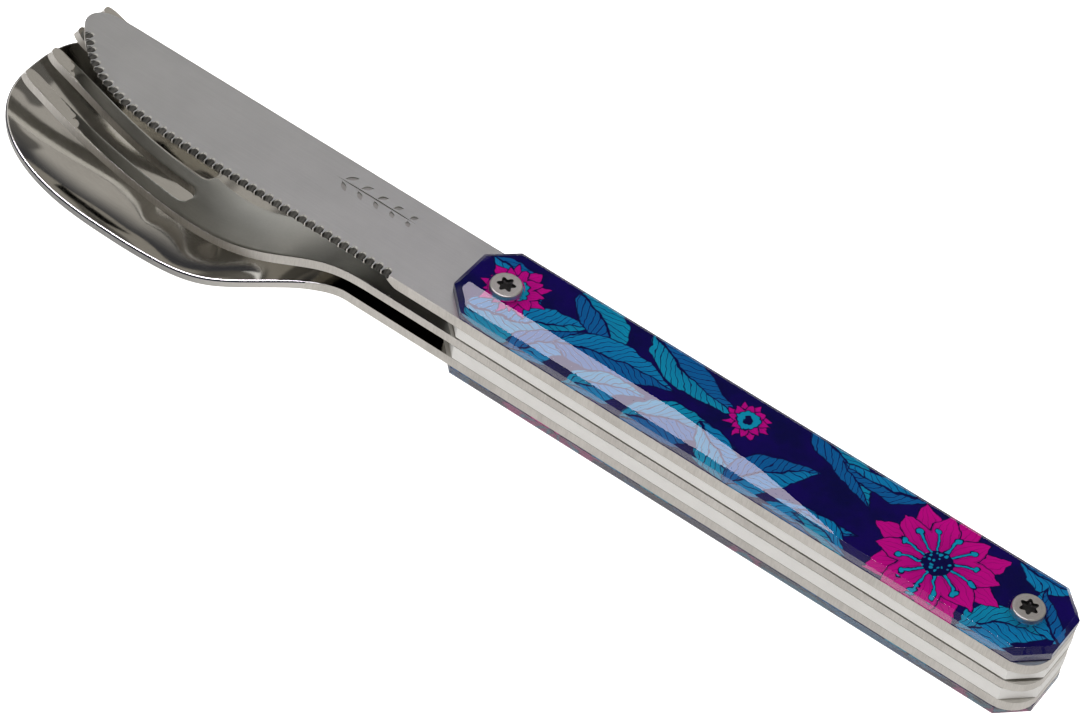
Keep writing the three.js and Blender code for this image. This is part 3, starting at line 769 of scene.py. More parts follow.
def spacer_piece(name, body, node, open_up):
    """A white spacer with pockets for the magnets and insert flanges in the face towards the fork."""
    low, high = box_mm(node)
    piece = link_mesh(name, solid_from(*ring_loft([octagon_ring(low.z), octagon_ring(high.z)])), [WHITE])
    face = high.z if open_up > 0 else low.z

    def pockets(places, radius, depth):
        ends = sorted((face - open_up * depth, face + open_up))
        return discs(places, radius + HOLE_CLEARANCE, *ends)

    magnets = pockets(MAGNET_XS, MAGNET_RADIUS, MAGNET_HEIGHT)
    flanges = pockets(SCREW_XS, INSERT_FLANGE_RADIUS, INSERT_FLANGE)
    barrels = discs(SCREW_XS, INSERT_BARREL_RADIUS + HOLE_CLEARANCE, low.z - 1, high.z + 1)
    carve(piece, magnets + flanges, barrels)
    soften(piece, 0.1)
    shade(piece, 25)
    hand_over(piece, body, "white_plastic", node)


spacer_piece("knife_spacer_moulded", "knife_tool", "knife_spacer", -1)
spacer_piece("spoon_spacer_moulded", "spoon_tool", "spoon_spacer", 1)

# ---- screws, inserts and magnets -------------------------------------------------------------------


def lathe_rings(profile):
    """Rings about Z from (radius, height) pairs, lowest first."""
    return [circle_ring(0, radius, z) for radius, z in profile]


def arc_profile(centre_r, centre_z, radius, start, end, steps=5):
    """Points on an arc of a profile, between two angles in degrees."""
    angles = [math.radians(start + (end - start) * k / steps) for k in range(steps + 1)]
    return [(centre_r + radius * math.cos(a), centre_z + radius * math.sin(a)) for a in angles]


def six_lobe_ring(radius, z):
    ring = []
    for k in range(ROUND):
        a = 2 * math.pi * k / ROUND
        r = radius * (0.83 + 0.17 * math.cos(6 * a))
        ring.append((r * math.cos(a), r * math.sin(a), z))
    return ring


def seated(x, z, up):
    """Where a turned piece sits: at an X and a height, upright or upside down."""
    return in_frame((x, 0, z)) @ Matrix.Rotation(0.0 if up > 0 else math.pi, 4, "X")


DRIVE_RADIUS = 1.5
# Each level of the drive recess: share of its radius, and depth below the top of the head.
DRIVE_LEVELS = [(0.72, 0.7), (0.97, 0.525), (1.0, 0.12), (1.16, -0.12)]
SCREW_TURNS = {"front": 23, "rear": 51}


def screw_piece(tool, end, up):
    node = f"{tool}_screw_{end}"
    low, high = box_mm(node)
    length = high.z - low.z - SCREW_HEAD_HEIGHT
    tip = 0.25
    crown = 0.3
    profile = [
        (SCREW_SHANK_RADIUS - tip, -length), (SCREW_SHANK_RADIUS, tip - length), (SCREW_SHANK_RADIUS, 0),
        (SCREW_HEAD_RADIUS - 0.1, 0), (SCREW_HEAD_RADIUS, 0.1),
    ]
    profile += arc_profile(SCREW_HEAD_RADIUS - crown, SCREW_HEAD_HEIGHT - crown, crown, 0, 80)
    profile += [(SCREW_HEAD_RADIUS - crown - 0.12, SCREW_HEAD_HEIGHT)]
    piece = link_mesh(f"{node}_turned", solid_from(*ring_loft(lathe_rings(profile))), [SCREW_METAL, RECESS_SHADE])
    mouth = [six_lobe_ring(DRIVE_RADIUS * share, SCREW_HEAD_HEIGHT - down) for share, down in DRIVE_LEVELS]
    # The recess takes the second material, painted near black as painted shade.
    carve(piece, [ring_loft(mouth, EDGE)])
    shade(piece, 28)
    seat = high.z - SCREW_HEAD_HEIGHT if up > 0 else low.z + SCREW_HEAD_HEIGHT
    spin = Matrix.Rotation(math.radians(SCREW_TURNS[end]), 4, "Z")
    piece.matrix_world = seated(SCREW_XS[end], seat, up) @ spin
    hand_over(piece, f"{tool}_tool", "screw_steel", node)


def insert_piece(tool, end, up):
    """A flanged threaded insert; its flange lies in the spacer's face towards the fork."""
    node = f"{tool}_insert_{end}"
    low, high = box_mm(node)
    height = high.z - low.z
    edge = 0.12
    bore = SCREW_SHANK_RADIUS + HOLE_CLEARANCE / 2
    outside = [
        (INSERT_FLANGE_RADIUS - edge, 0), (INSERT_FLANGE_RADIUS, edge), (INSERT_FLANGE_RADIUS, INSERT_FLANGE),
        (INSERT_BARREL_RADIUS, INSERT_FLANGE), (INSERT_BARREL_RADIUS, height - edge),
        (INSERT_BARREL_RADIUS - edge, height),
    ]
    piece = link_mesh(f"{node}_turned", solid_from(*ring_loft(lathe_rings(outside))), [BRASS])
    hole = [(bore + edge, -edge), (bore, edge), (bore, height + 1)]
    carve(piece, [ring_loft(lathe_rings(hole))])
    shade(piece, 30)
    piece.matrix_world = seated(SCREW_XS[end], low.z if up > 0 else high.z, up)
    hand_over(piece, f"{tool}_tool", "insert_brass", node)


def magnet_piece(tool, end):
    node = f"{tool}_magnet_{end}"
    low, high = box_mm(node)
    height = high.z - low.z
    edge = 0.15
    radius = MAGNET_RADIUS
    profile = [(radius - edge, 0), (radius, edge), (radius, height - edge), (radius - edge, height)]
    piece = link_mesh(f"{node}_plated", solid_from(*ring_loft(lathe_rings(profile))), [NICKEL])
    shade(piece, 30)
    piece.matrix_world = in_frame((MAGNET_XS[end], 0, low.z))
    hand_over(piece, f"{tool}_tool", "magnet_nickel", node)


for tool_name, facing in (("knife", 1), ("spoon", -1)):
    for end_name in ("front", "rear"):
        screw_piece(tool_name, end_name, facing)
        insert_piece(tool_name, end_name, facing)
        magnet_piece(tool_name, end_name)

# ---- smooth curves through a few points ------------------------------------------------------------


def smooth_curve(pairs, start_slope=0.0, end_slope=0.0):
    """A cubic spline through (x, value) pairs with given end slopes, constant past its ends."""
    xs = np.array([p[0] for p in pairs], float)
    ys = np.array([p[1] for p in pairs], float)
    steps = np.diff(xs)
    count = len(xs)
    system = np.zeros((count, count))
    right = np.zeros(count)
    system[0, :2] = 2 * steps[0], steps[0]
    right[0] = 6 * ((ys[1] - ys[0]) / steps[0] - start_slope)
    system[-1, -2:] = steps[-1], 2 * steps[-1]
    right[-1] = 6 * (end_slope - (ys[-1] - ys[-2]) / steps[-1])
    for i in range(1, count - 1):
        system[i, i - 1:i + 2] = steps[i - 1], 2 * (steps[i - 1] + steps[i]), steps[i]
        right[i] = 6 * ((ys[i + 1] - ys[i]) / steps[i] - (ys[i] - ys[i - 1]) / steps[i - 1])
    bends = np.linalg.solve(system, right)

    def value(x):
        x = np.clip(np.asarray(x, float), xs[0], xs[-1])
        i = np.clip(np.searchsorted(xs, x) - 1, 0, count - 2)
        h = steps[i]
        a = (xs[i + 1] - x) / h
        b = (x - xs[i]) / h
        curve = ((a ** 3 - a) * bends[i] + (b ** 3 - b) * bends[i + 1]) * h ** 2 / 6
        return a * ys[i] + b * ys[i + 1] + curve

    return value


def tang_half_width(x):
    """Half of a tang's width, with its round corners at the butt end."""
    past = np.maximum(0, np.asarray(x, float) - (BUTT_X - TANG_CORNER_RADIUS))
    round_part = np.sqrt(np.maximum(0, TANG_CORNER_RADIUS ** 2 - past ** 2))
    return HALF_WIDTH - TANG_CORNER_RADIUS + round_part


def tang_stations(start, steps=14):
    """X values from a tang's start to the butt end, close together at the round corners."""
    corner = BUTT_X - TANG_CORNER_RADIUS
    straight = list(np.linspace(start, corner, 24)[:-1])
    turned_part = [corner + TANG_CORNER_RADIUS * math.sin(math.pi / 2 * k / steps) for k in range(steps + 1)]
    return straight + turned_part


# ---- bent sheets -----------------------------------------------------------------------------------


ROUND_EDGE = [
    (0.019, 0.383), (0.073, 0.707), (0.154, 0.924), (0.25, 1.0), (0.75, 1.0), (0.846, 0.924), (0.927, 0.707),
    (0.981, 0.383),
]


def edge_rows(points, offsets, border, bulge):
    """Rows of points round an open edge, from its upper to its lower side, that stand out by a bulge.
    ROUND_EDGE says how far down each row lies and how much of the bulge it has."""
    outward = {k: np.zeros(2) for edge in border for k in edge}
    for a, b in border:
        way = np.subtract(points[b], points[a])[:2]
        for k in (a, b):
            outward[k] += (way[1], -way[0])
    rows = []
    for down, out in ROUND_EDGE:
        row = {}
        for k, aside in outward.items():
            reach = aside / np.linalg.norm(aside) * bulge(points[k][0]) * out
            row[k] = tuple(np.add(points[k], np.multiply(offsets[k], down)) + (reach[0], reach[1], 0.0))
        rows.append(row)
    return rows


def sheet_bmesh(points, offsets, faces, wall_slot, bulge=None):
    """A closed sheet: its upper face from points and faces, its lower face from points + offsets, and
    walls round every open edge, flat or bulging. Faces are counter-clockwise from above."""
    count = len(points)
    lower = [tuple(np.add(p, o)) for p, o in zip(points, offsets)]
    edges = {}
    for face in faces:
        for a, b in zip(face, face[1:] + face[:1]):
            edges[(a, b)] = True
    every = list(faces)
    slots = [0] * len(faces)
    every += [tuple(count + k for k in reversed(face)) for face in faces]
    slots += [0] * len(faces)
    border = [(a, b) for a, b in edges if (b, a) not in edges]
    every_point = list(points) + lower
    levels = [{k: k for edge in border for k in edge}]
    for row in edge_rows(points, offsets, border, bulge) if bulge else []:
        levels.append({k: len(every_point) + i for i, k in enumerate(row)})
        every_point += row.values()
    levels.append({k: count + k for k in levels[0]})
    for over, under in zip(levels, levels[1:]):
        for a, b in border:
            every.append((over[b], over[a], under[a], under[b]))
            slots.append(wall_slot)
    bm = solid_from(every_point, every, slots)
    loose = [v for v in bm.verts if not v.link_faces]
    bmesh.ops.delete(bm, geom=loose, context="VERTS")
    return bm


def grid_faces(lines, columns, base=0):
    """The place and the four corners of each face of a grid, whose first point has the number base."""
    for i in range(lines - 1):
        for j in range(columns - 1):
            k = base + i * columns + j
            yield (i, j), (k, k + columns, k + columns + 1, k + 1)


def merged(points, faces):
    """Points and faces with equal points made one and faces without area left out."""
    index, kept, renamed = {}, [], []
    for p in points:
        key = tuple(round(float(c), 5) for c in p)
        if key not in index:
            index[key] = len(kept)
            kept.append(p)
        renamed.append(index[key])
    clean = []
    for face in faces:
        ring = [renamed[k] for k in face]
        ring = [k for i, k in enumerate(ring) if k != ring[i - 1]]
        if len(set(ring)) >= 3:
            clean.append(tuple(ring))
    return kept, clean


# ---- fork ------------------------------------------------------------------------------------------

FORK_TIP_X = FORK_LOW.x
SLOT_ROOT_X = -62.0
FORK_NECK_X = -25.0
FORK_TANG_X = -28.0
TIP_REACH = 2.4
ROOT_REACH = 2.2
TIP_ROUNDNESS = 2.4
TIP_BLUNTNESS = 0.12
TINE_CENTRES = (0.3, 0.894)
TINE_HALF = 1.12
TINE_GROWTH = 0.28
OUTER_TINE_END_X = SLOT_ROOT_X - 6
ROWS_EVEN_BY = 8
fork_height = smooth_curve([
    (-95, 17.75), (-90, 15.6), (-80, 11.4), (-71, 8.8), (-62, 8.1), (-54, 9.1), (-45, 11.4),
    (-36, 14.0), (FORK_NECK_X, FORK_TOP),
], -0.58, 0.0)
fork_half_curve = smooth_curve([
    (-95, 11.4), (-88, 11.6), (-76, 11.1), (-66, 11.2), (-57, 12.0), (-50, 12.35), (-44, 11.7), (-38, 10.1),
    (-33.5, 9.0), (FORK_TANG_X, HALF_WIDTH),
])


def fork_half(x):
    return float(tang_half_width(x) if x > FORK_TANG_X else fork_half_curve(x))


def smooth_ramp(value, low, high):
    t = min(1.0, max(0.0, (value - low) / (high - low)))
    return t * t * (3 - 2 * t)


def fork_row_edges(x):
    """The Y values of the tines' edges on one side: inner tine's two, then the outer tine's two."""
    row_x = min(x, SLOT_ROOT_X)
    half = fork_half(row_x)
    along = (row_x - FORK_TIP_X) / (SLOT_ROOT_X - FORK_TIP_X)
    tine = TINE_HALF + TINE_GROWTH * along
    from_tip = min(1.0, (row_x - FORK_TIP_X) / TIP_REACH)
    bulge = (1 - (1 - from_tip) ** TIP_ROUNDNESS) ** (1 / TIP_ROUNDNESS)
    tine *= TIP_BLUNTNESS + (1 - TIP_BLUNTNESS) * bulge
    inner, outer = (share * half for share in TINE_CENTRES)
    middle = (inner + outer) / 2
    outer_edge = min(outer + tine, half) if x < OUTER_TINE_END_X else half

    def pinched(width):
        into = min(1.0, max(0.0, (row_x - SLOT_ROOT_X) / width + 1))
        return width * (0.04 + 0.96 * math.sqrt(max(0.0, 1 - into ** 2)))

    side = pinched(middle - inner - tine)
    return [pinched(inner - tine), middle - side, middle + side, outer_edge]


TINE_CELLS = 6
SLOT_CELLS = 4


def fork_rows(x):
    """Y values of all rows at a station. Past the slots' roots they become evenly spaced."""
    right = fork_row_edges(x)
    edges = [-y for y in reversed(right)] + right
    rows = []
    for i, (a, b) in enumerate(zip(edges, edges[1:])):
        cells = TINE_CELLS if i % 2 == 0 else SLOT_CELLS
        rows += [a + (b - a) * k / cells for k in range(cells)]
    rows.append(edges[-1])
    rows = np.array(rows)
    if x > SLOT_ROOT_X:
        even = np.linspace(-1, 1, len(rows)) * fork_half(x)
        spread = rows * fork_half(x) / edges[-1]
        share = smooth_ramp(x, SLOT_ROOT_X, SLOT_ROOT_X + ROWS_EVEN_BY)
        rows = spread * (1 - share) + even * share
    return rows


def fork_piece():
    tip = [FORK_TIP_X + TIP_REACH * (k / 10) ** 1.6 for k in range(11)]
    tines = list(np.linspace(FORK_TIP_X + TIP_REACH, SLOT_ROOT_X - ROOT_REACH, 46)[1:-1])
    root = [SLOT_ROOT_X - ROOT_REACH * (1 - math.sin(math.pi / 2 * k / 14)) for k in range(15)]
    body = list(np.linspace(SLOT_ROOT_X, FORK_NECK_X, 60)[1:-1])
    stations = tip + tines + root + body + tang_stations(FORK_NECK_X)
    points, offsets = [], []
    for x in stations:
        slope = float(fork_height(x + 0.05) - fork_height(x - 0.05)) / 0.1
        lean = math.hypot(1, slope)
        for y in fork_rows(x):
            points.append((x, float(y), float(fork_height(x))))
            offsets.append((slope / lean * FORK_SHEET, 0.0, -FORK_SHEET / lean))
    group = TINE_CELLS + SLOT_CELLS
    faces = [
        face for (i, j), face in grid_faces(len(stations), len(points) // len(stations))
        if stations[i] >= SLOT_ROOT_X - 1e-9 or j % group < TINE_CELLS
    ]
    piece = link_mesh("fork_polished", sheet_bmesh(points, offsets, faces, EDGE), [POLISHED, SHEARED])
    soften(piece, 0.12, 50, 2, EDGE)
    shade(piece, 30)
    hand_over(piece, "fork_tool", "polished_steel", "fork")


fork_piece()

# ---- spoon -----------------------------------------------------------------------------------------

RIM_ROUND = 0.42
BOWL_TIP_X = BOWL_LOW.x + 0.1 + RIM_ROUND
BOWL_WIDEST_X = -68.0
BOWL_NECK_X = -29.0
BOWL_HALF = BOWL_HIGH.y - 0.1 - RIM_ROUND
BOWL_FLOOR = BOWL_LOW.z + SPOON_SHEET
BOWL_ROUNDNESS = 2.6
RIM_THINNING = 0.2
ROUND_RIM_END_X = -36.0
bowl_half = smooth_curve([
    (BOWL_WIDEST_X, BOWL_HALF + RIM_ROUND), (-60, 19.75), (-54, 19.05), (-50, 17.85), (-46, 15.75),
    (-42, 13.4), (-38, 11.35), (-34, 9.8), (BOWL_NECK_X, HALF_WIDTH),
])
rim_height = smooth_curve([
    (BOWL_TIP_X, 8.0), (-96, 6.9), (-90, 6.05), (-80, 5.3), (BOWL_WIDEST_X, 5.1), (-56, 5.2), (-46, 6.7),
    (-40, 8.3), (-34, 10.1), (BOWL_NECK_X, SPOON_TOP),
], -0.2, 0.0)
keel_height = smooth_curve([
    (BOWL_WIDEST_X, BOWL_FLOOR), (-59, 0.8), (-50, 2.95), (-42, 6.3), (-35, 9.4), (BOWL_NECK_X, SPOON_TOP),
])
DISH_ACROSS = 2.2
DISH_ALONG = 3.4
BOWL_REACH = BOWL_WIDEST_X - BOWL_TIP_X
BOWL_RINGS = 26
BOWL_SPOKES = 96


def past_neck(x):
    """0 at the neck and beyond, 1 over the bowl."""
    return smooth_ramp(BOWL_NECK_X - x, 0, 12)


def rim_round(x):
    """How far the round rim stands out past the upper face's outline. It fades out at the neck."""
    return RIM_ROUND * past_neck(x)


def spoon_half(x):
    return float(tang_half_width(x) if x > BOWL_NECK_X else bowl_half(x) - rim_round(x))


def rim_share(x, y):
    """How far a point is from the bowl's middle towards its rim, as a share."""
    if x >= BOWL_WIDEST_X:
        return abs(y) / max(spoon_half(x), 0.1)
    reach = (BOWL_WIDEST_X - x) / BOWL_REACH
    side = abs(y) / BOWL_HALF
    return (reach ** BOWL_ROUNDNESS + side ** BOWL_ROUNDNESS) ** (1 / BOWL_ROUNDNESS)


def spoon_height(x, y):
    """Height of the spoon's upper face at a point inside its outline."""
    share = min(1.0, rim_share(x, y))
    if x >= BOWL_WIDEST_X:
        keel = float(keel_height(x))
        return keel + (float(rim_height(x)) - keel) * share ** DISH_ACROSS
    if share < 1e-9:
        return BOWL_FLOOR
    reach = min(1.0, (BOWL_WIDEST_X - x) / BOWL_REACH / share)
    rim_x = BOWL_WIDEST_X - BOWL_REACH * reach
    power = DISH_ACROSS + (DISH_ALONG - DISH_ACROSS) * reach ** 2
    return BOWL_FLOOR + (float(rim_height(rim_x)) - BOWL_FLOOR) * share ** power


def sheet_offset(x, y):
    """From the spoon's upper face to its lower face: square to the sheet, but upright at the rim."""
    d = 0.05
    toward = 0.985
    xi = BOWL_WIDEST_X + (x - BOWL_WIDEST_X) * toward if x < BOWL_WIDEST_X else x
    yi = y * toward
    along = (spoon_height(xi + d, yi) - spoon_height(xi - d, yi)) / (2 * d)
    across = (spoon_height(xi, yi + d) - spoon_height(xi, yi - d)) / (2 * d)
    square = -Vector((-along, -across, 1)).normalized() * SPOON_SHEET
    upright = Vector((0, 0, RIM_THINNING * past_neck(x) - SPOON_SHEET))
    return tuple(square.lerp(upright, smooth_ramp(rim_share(x, y), 0.55, 1.0)))


def spoon_piece():
    shares = [math.sin(math.pi / 2 * k / BOWL_RINGS) ** 0.92 for k in range(BOWL_RINGS + 1)]
    points, faces = [], []

    def grid(block):
        faces.extend(face for _, face in grid_faces(len(block), len(block[0]), len(points)))
        for line in block:
            points.extend((x, y, spoon_height(x, y)) for x, y in line)

    bowl = []
    for k in range(BOWL_SPOKES + 1):
        angle = math.pi * (k / BOWL_SPOKES - 0.5)
        cos_part = max(0.0, math.cos(angle)) ** (2 / BOWL_ROUNDNESS)
        sin_part = math.copysign(abs(math.sin(angle)) ** (2 / BOWL_ROUNDNESS), angle)
        if k in (0, BOWL_SPOKES):
            cos_part = 0.0
        bowl.append([
            (BOWL_WIDEST_X - BOWL_REACH * cos_part * share, BOWL_HALF * sin_part * share) for share in shares
        ])
    grid(bowl)
    both = [-share for share in reversed(shares[1:])] + shares
    stations = list(np.linspace(BOWL_WIDEST_X, BOWL_NECK_X, 56)[:-1]) + tang_stations(BOWL_NECK_X)
    grid([[(float(x), share * spoon_half(x)) for share in both] for x in stations])
    points_kept, faces_kept = merged(points, faces)
    offsets = [sheet_offset(x, y) for x, y, _ in points_kept]
    sheet = sheet_bmesh(points_kept, offsets, faces_kept, EDGE, rim_round)
    for face in sheet.faces:
        if face.material_index == EDGE and face.calc_center_median().x / MM > ROUND_RIM_END_X:
            face.material_index = CUT
    piece = link_mesh("spoon_polished", sheet, [POLISHED, ROUNDED, SHEARED])
    low, high = SPOON_TOP - SPOON_SHEET - 1, SPOON_TOP + 1
    carve(piece, discs(SCREW_XS, INSERT_BARREL_RADIUS + HOLE_CLEARANCE, low, high))
    shade(piece, 30)
    hand_over(piece, "spoon_tool", "polished_steel", "spoon")


spoon_piece()

# ---- knife -----------------------------------------------------------------------------------------

SPINE_Y = 8.0
CUTTING_EDGE = [
    (-20, -8.65), (-50, -8.65), (-66, -8.5), (-76, -7.6), (-83, -5.6), (-88.5, -2.4), (-92.4, 1.4),
]
TIP_CURVE = [(-92.4, 1.4), (-93.9, 3.2), (-94.35, 5.0), (-93.3, 6.9), (-91.0, 7.8), (-87.5, SPINE_Y)]
EDGE_THICKNESS = 0.75
GRIND_WIDTH = 3.0
FLUTE_RADIUS = 0.76
FLUTE_TOP_REACH = 1.5
FLUTE_EDGE_REACH = 0.58


def travelled(line):
    """The way travelled at each point of a line, from its first point."""
    return np.concatenate([[0], np.cumsum(np.linalg.norm(np.diff(np.array(line), axis=0), axis=1))])


def through(points, samples):
    """Evenly spaced points on a smooth curve through some points."""
    points = np.array(points, float)
    lengths = travelled(points)
    first = (points[1] - points[0]) / (lengths[1] - lengths[0])
    last = (points[-1] - points[-2]) / (lengths[-1] - lengths[-2])
    curves = [
        smooth_curve(list(zip(lengths, points[:, axis])), first[axis], last[axis]) for axis in range(2)
    ]
    fine = np.linspace(0, lengths[-1], 2000)
    line = np.stack([curve(fine) for curve in curves], axis=1)
    travel = travelled(line)
    where = np.linspace(0, travel[-1], samples)
    return np.stack([np.interp(where, travel, line[:, axis]) for axis in range(2)], axis=1)


TEETH = 44
SAMPLES_PER_TOOTH = 4
FLUTE_STEPS = 40
FLUTE_ENDS = (-4.5, 1.5)
TIP_FADE = (0.5, 5)
HEEL_FADE = (0.2, 3.4)
LEAST_WALL = 0.05
CORNER_STEPS = 14


def tang_corners():
    """The round corners at the butt end, counter-clockwise."""
    corners = []
    r = TANG_CORNER_RADIUS
    for centre_y, start in ((r - HALF_WIDTH, -90), (HALF_WIDTH - r, 0)):
        for k in range(CORNER_STEPS + 1):
            a = math.radians(start + 90 * k / CORNER_STEPS)
            corners.append((BUTT_X - r + r * math.cos(a), centre_y + r * math.sin(a)))
    return corners


def blade_solid(edge, bottom, top):
    """The blade, ground from below along its cutting edge."""
    shoulder = [(START_X + 9, HALF_WIDTH), (START_X + 4, SPINE_Y)]
    ground = [tuple(p) for p in reversed(edge)]
    outline = ground + tang_corners() + shoulder + [tuple(p) for p in reversed(through(TIP_CURVE, 26)[1:])]
    travel = travelled(ground)
    last = len(ground) - 1
    rings = [[], [], []]
    for i, (x, y) in enumerate(outline):
        share = 0.0
        inward = (0.0, 0.0)
        if i <= last:
            # The grind fades out at the heel and at the tip.
            share = smooth_ramp(travel[i], *TIP_FADE) * smooth_ramp(travel[last] - travel[i], *HEEL_FADE)
            way = np.subtract(outline[min(i + 1, last)], outline[max(i - 1, 0)])
            way = way / np.linalg.norm(way)
            inward = (-way[1], way[0])
        reach = GRIND_WIDTH * share
        edge_z = bottom + LEAST_WALL + (top - bottom - EDGE_THICKNESS - LEAST_WALL) * share
        rings[0].append((x + inward[0] * reach, y + inward[1] * reach, bottom))
        rings[1].append((x, y, edge_z))
        rings[2].append((x, y, top))
    points, faces, slots = ring_loft(rings)
    count = len(outline)
    for i in range(count):
        slots[count + i] = EDGE
        slots[i] = FACE if i <= last else EDGE
    return solid_from(points, faces, slots)


def flute_cutters(edge, top):
    """Slanting cylinders that cut the serrations, in two groups that take turns along the edge."""
    groups = ([], [])
    slant = math.atan2(EDGE_THICKNESS, FLUTE_TOP_REACH - FLUTE_EDGE_REACH)
    for tooth in range(1, TEETH):
        middle = tooth * SAMPLES_PER_TOOTH + 2
        here = edge[middle]
        way = edge[middle + 1] - edge[middle - 1]
        way = way / np.linalg.norm(way)
        inward = Vector((way[1], -way[0], 0))
        side = Vector((way[0], way[1], 0))
        axis = inward * math.cos(slant) + Vector((0, 0, math.sin(slant)))
        outward = -inward * math.sin(slant) + Vector((0, 0, math.cos(slant)))
        centre = Vector((here[0], here[1], top)) + inward * FLUTE_TOP_REACH + outward * FLUTE_RADIUS
        angles = [2 * math.pi * k / FLUTE_STEPS for k in range(FLUTE_STEPS)]
        spokes_out = [(side * math.cos(a) + outward * math.sin(a)) * FLUTE_RADIUS for a in angles]
        rings = [[tuple(centre + axis * distance + spoke) for spoke in spokes_out] for distance in FLUTE_ENDS]
        groups[tooth % 2].append(ring_loft(rings, CUT))
    return groups


def knife_piece():
    bottom, top = KNIFE_LOW.z, KNIFE_HIGH.z
    edge = through(CUTTING_EDGE, TEETH * SAMPLES_PER_TOOTH + 1)
    piece = link_mesh("knife_blade", blade_solid(edge, bottom, top), [SATIN, SHEARED, SHADED_FLUTES, ENGRAVED])
    soften(piece, 0.10, 50, 2, EDGE)
    carve(piece, *flute_cutters(edge, top))
    carve(piece, discs(SCREW_XS, INSERT_BARREL_RADIUS + HOLE_CLEARANCE, bottom - 1, top + 1))
    engrave_sprig(piece, top)
    shade(piece, 28)
    hand_over(piece, "knife_tool", "satin_steel", "knife")


def lens_solid(x, y, angle, length, width, low, high):
    """A pointed leaf-shaped prism."""
    steps = 10
    side = [(length * k / steps, width * math.sin(math.pi * k / steps)) for k in range(steps + 1)]
    outline = [(u, -v) for u, v in side] + [(u, v) for u, v in reversed(side[1:-1])]
    c, s = math.cos(angle), math.sin(angle)
    flat = [(x + u * c - v * s, y + u * s + v * c) for u, v in outline]
    return ring_loft([[(px, py, low) for px, py in flat], [(px, py, high) for px, py in flat]], ENGRAVING)


SPRIG_START_X = -41.5
SPRIG_Y = 3.4
SPRIG_LENGTH = 16.5
SPRIG_DEPTH = 0.2
SPRIG_STEM_HALF = 0.16
SPRIG_PAIRS = 5
SPRIG_LEAF_LIFT = 0.42
SPRIG_LEAF_HALF = 0.42
SPRIG_LEAF_ANGLE = math.radians(42)


def engrave_sprig(piece, top):
    """A small generic sprig cut into the blade's upper face."""
    low = top - SPRIG_DEPTH
    high = top + 1
    stem = [lens_solid(SPRIG_START_X, SPRIG_Y, 0.0, SPRIG_LENGTH, SPRIG_STEM_HALF, low, high)]
    leaves = []
    for k in range(SPRIG_PAIRS):
        x = SPRIG_START_X + 1.6 + k * (SPRIG_LENGTH - 3.4) / (SPRIG_PAIRS - 1)
        size = 2.3 - 0.22 * k
        for way in (-1, 1):
            y = SPRIG_Y + way * SPRIG_LEAF_LIFT
            leaves.append(lens_solid(x, y, way * SPRIG_LEAF_ANGLE, size, SPRIG_LEAF_HALF, low, high))
    carve(piece, stem, leaves)


knife_piece()

# ---- floor, light and surroundings -----------------------------------------------------------------


def floor_material():
    """A pale matt sheet that glows like a light table. It can be seen through from below."""
    material, nodes, shader, output = new_material(
        "pale_floor", Roughness=0.7, Specular_IOR_Level=0.1, Emission_Color=grey(1.0))
    nodes.mottle(shader, nodes.noise(place_mm(nodes), 0.01, 2.0), grey(0.86), grey(0.9))
    seen = nodes.add("ShaderNodeLightPath").outputs["Is Camera Ray"]
    nodes.feed(shader.inputs["Emission Strength"], nodes.math("MULTIPLY_ADD", seen, 1.1, 0.18))
    from_below = nodes.add("ShaderNodeNewGeometry").outputs["Backfacing"]
    nodes.choose(output, from_below, shader, nodes.add("ShaderNodeBsdfTransparent"))
    return material


def add_floor():
    half = 1500.0
    points = [(x, y, TABLE_Z) for x, y in ((-half, -half), (half, -half), (half, half), (-half, half))]
    floor = link_mesh("floor", solid_from(points, [(0, 1, 2, 3)]), [floor_material()])


add_floor()


def area_light(name, place, aim, size, power, glossy):
    data = bpy.data.lights.new(name, "AREA")
    data.shape = "RECTANGLE"
    data.size, data.size_y = (side * MM for side in size)
    data.energy = power
    light = bpy.data.objects.new(name, data)
    way = Vector(place) - Vector(aim)
    light.matrix_world = in_frame(place) @ way.to_track_quat("Z", "Y").to_matrix().to_4x4()
    light.visible_glossy = glossy
    light.visible_camera = False
    SCENE.collection.objects.link(light)


area_light("overhead_fill", (0, -150, 1500), (0, 0, 0), (1600, 1600), 14, False)


def card(name, outline, height, strength):
    """A flat glowing or dark card above the object, seen only in first reflections."""
    material = bpy.data.materials.new(name)
    material.use_nodes = True
    material.node_tree.nodes.clear()
    nodes = Nodes(material.node_tree)
    output = nodes.add("ShaderNodeOutputMaterial")
    glow = nodes.add("ShaderNodeEmission")
    glow.inputs["Color"].default_value = (0.99, 0.91, 1.04, 1)
    path = nodes.add("ShaderNodeLightPath")
    direct = nodes.math("LESS_THAN", path.outputs["Ray Depth"], 1.5)
    nodes.feed(glow.inputs["Strength"], nodes.times(direct, strength))
    nodes.feed(output.inputs["Surface"], glow.outputs[0])
    points = [(x, y, height) for x, y in outline]
    sheet = link_mesh(name, solid_from(points, [tuple(range(len(points)))]), [material])
    sheet.visible_camera = False
    sheet.visible_shadow = False
    sheet.visible_diffuse = False


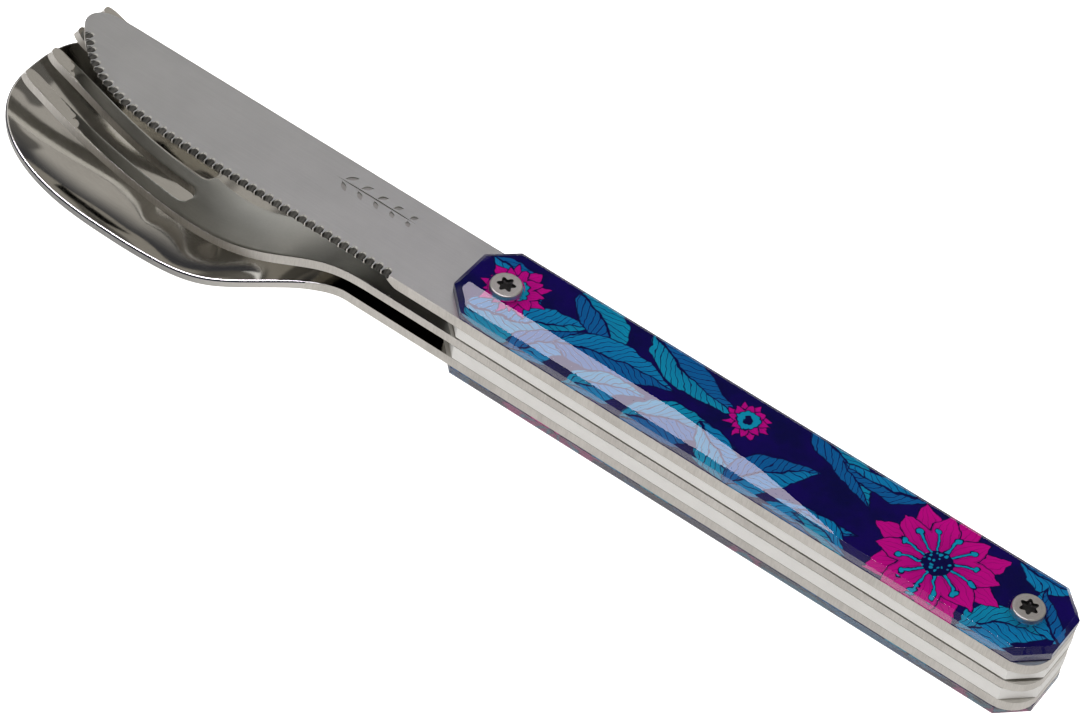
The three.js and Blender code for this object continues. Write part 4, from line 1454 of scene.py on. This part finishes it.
def mirrored_on(height, face_point):
    """Where a card at a height has to be for the camera to see it mirrored at a point of the handle's
    top face."""
    _, _, back = camera_axes()
    eye = CAMERA_TARGET + back * CAMERA_DISTANCE
    top = SCALE_HIGH.z
    mirrored_eye = Vector((eye.x, eye.y, 2 * top - eye.z))
    aim = Vector((face_point[0], face_point[1], top)) - mirrored_eye
    reach = (height - mirrored_eye.z) / aim.z
    point = mirrored_eye + aim * reach
    return point.x, point.y


SOFTBOX_HEIGHT = 900.0
SOFTBOX_ON_FACE = [(-11.0, -14.0), (-10.5, -3.0), (30.0, -3.2), (46.0, -4.4), (62.0, -8.0), (66.0, -14.0)]
BLACK_CARD_HEIGHT = 960.0
BLACK_CARD_ON_FACE = [(-13.5, -60.0), (-13.5, 12.0), (103.0, 12.0), (103.0, -60.0)]
card("softbox", [mirrored_on(SOFTBOX_HEIGHT, p) for p in SOFTBOX_ON_FACE], SOFTBOX_HEIGHT, 6.6)
card("black_card", [mirrored_on(BLACK_CARD_HEIGHT, p) for p in BLACK_CARD_ON_FACE], BLACK_CARD_HEIGHT, 0.07)
card("strip_light", [(-760, -250), (240, -250), (240, -90), (-760, -90)], SOFTBOX_HEIGHT, 9.0)


def add_world():
    """A grey studio, unevenly lit and darker just above the horizon."""
    world = bpy.data.worlds.new("studio")
    world.use_nodes = True
    world.node_tree.nodes.clear()
    nodes = Nodes(world.node_tree)
    output = nodes.add("ShaderNodeOutputWorld")
    background = nodes.add("ShaderNodeBackground")
    nodes.feed(output.inputs["Surface"], background.outputs[0])
    coords = nodes.add("ShaderNodeTexCoord")
    patches = nodes.noise(coords.outputs["Generated"], 2.6, 1.0)
    wall = nodes.mix(nodes.step(patches, 0.38, 0.46), (0.14, 0.134, 0.125, 1), (0.45, 0.43, 0.40, 1))
    lift = nodes.step(nodes.axes(coords.outputs["Generated"])[2], 0.05, 0.35)
    nodes.feed(background.inputs["Color"], nodes.mix(lift, (0.05, 0.05, 0.055, 1), wall))
    SCENE.world = world


add_world()
SCENE.view_settings.view_transform = "Standard"
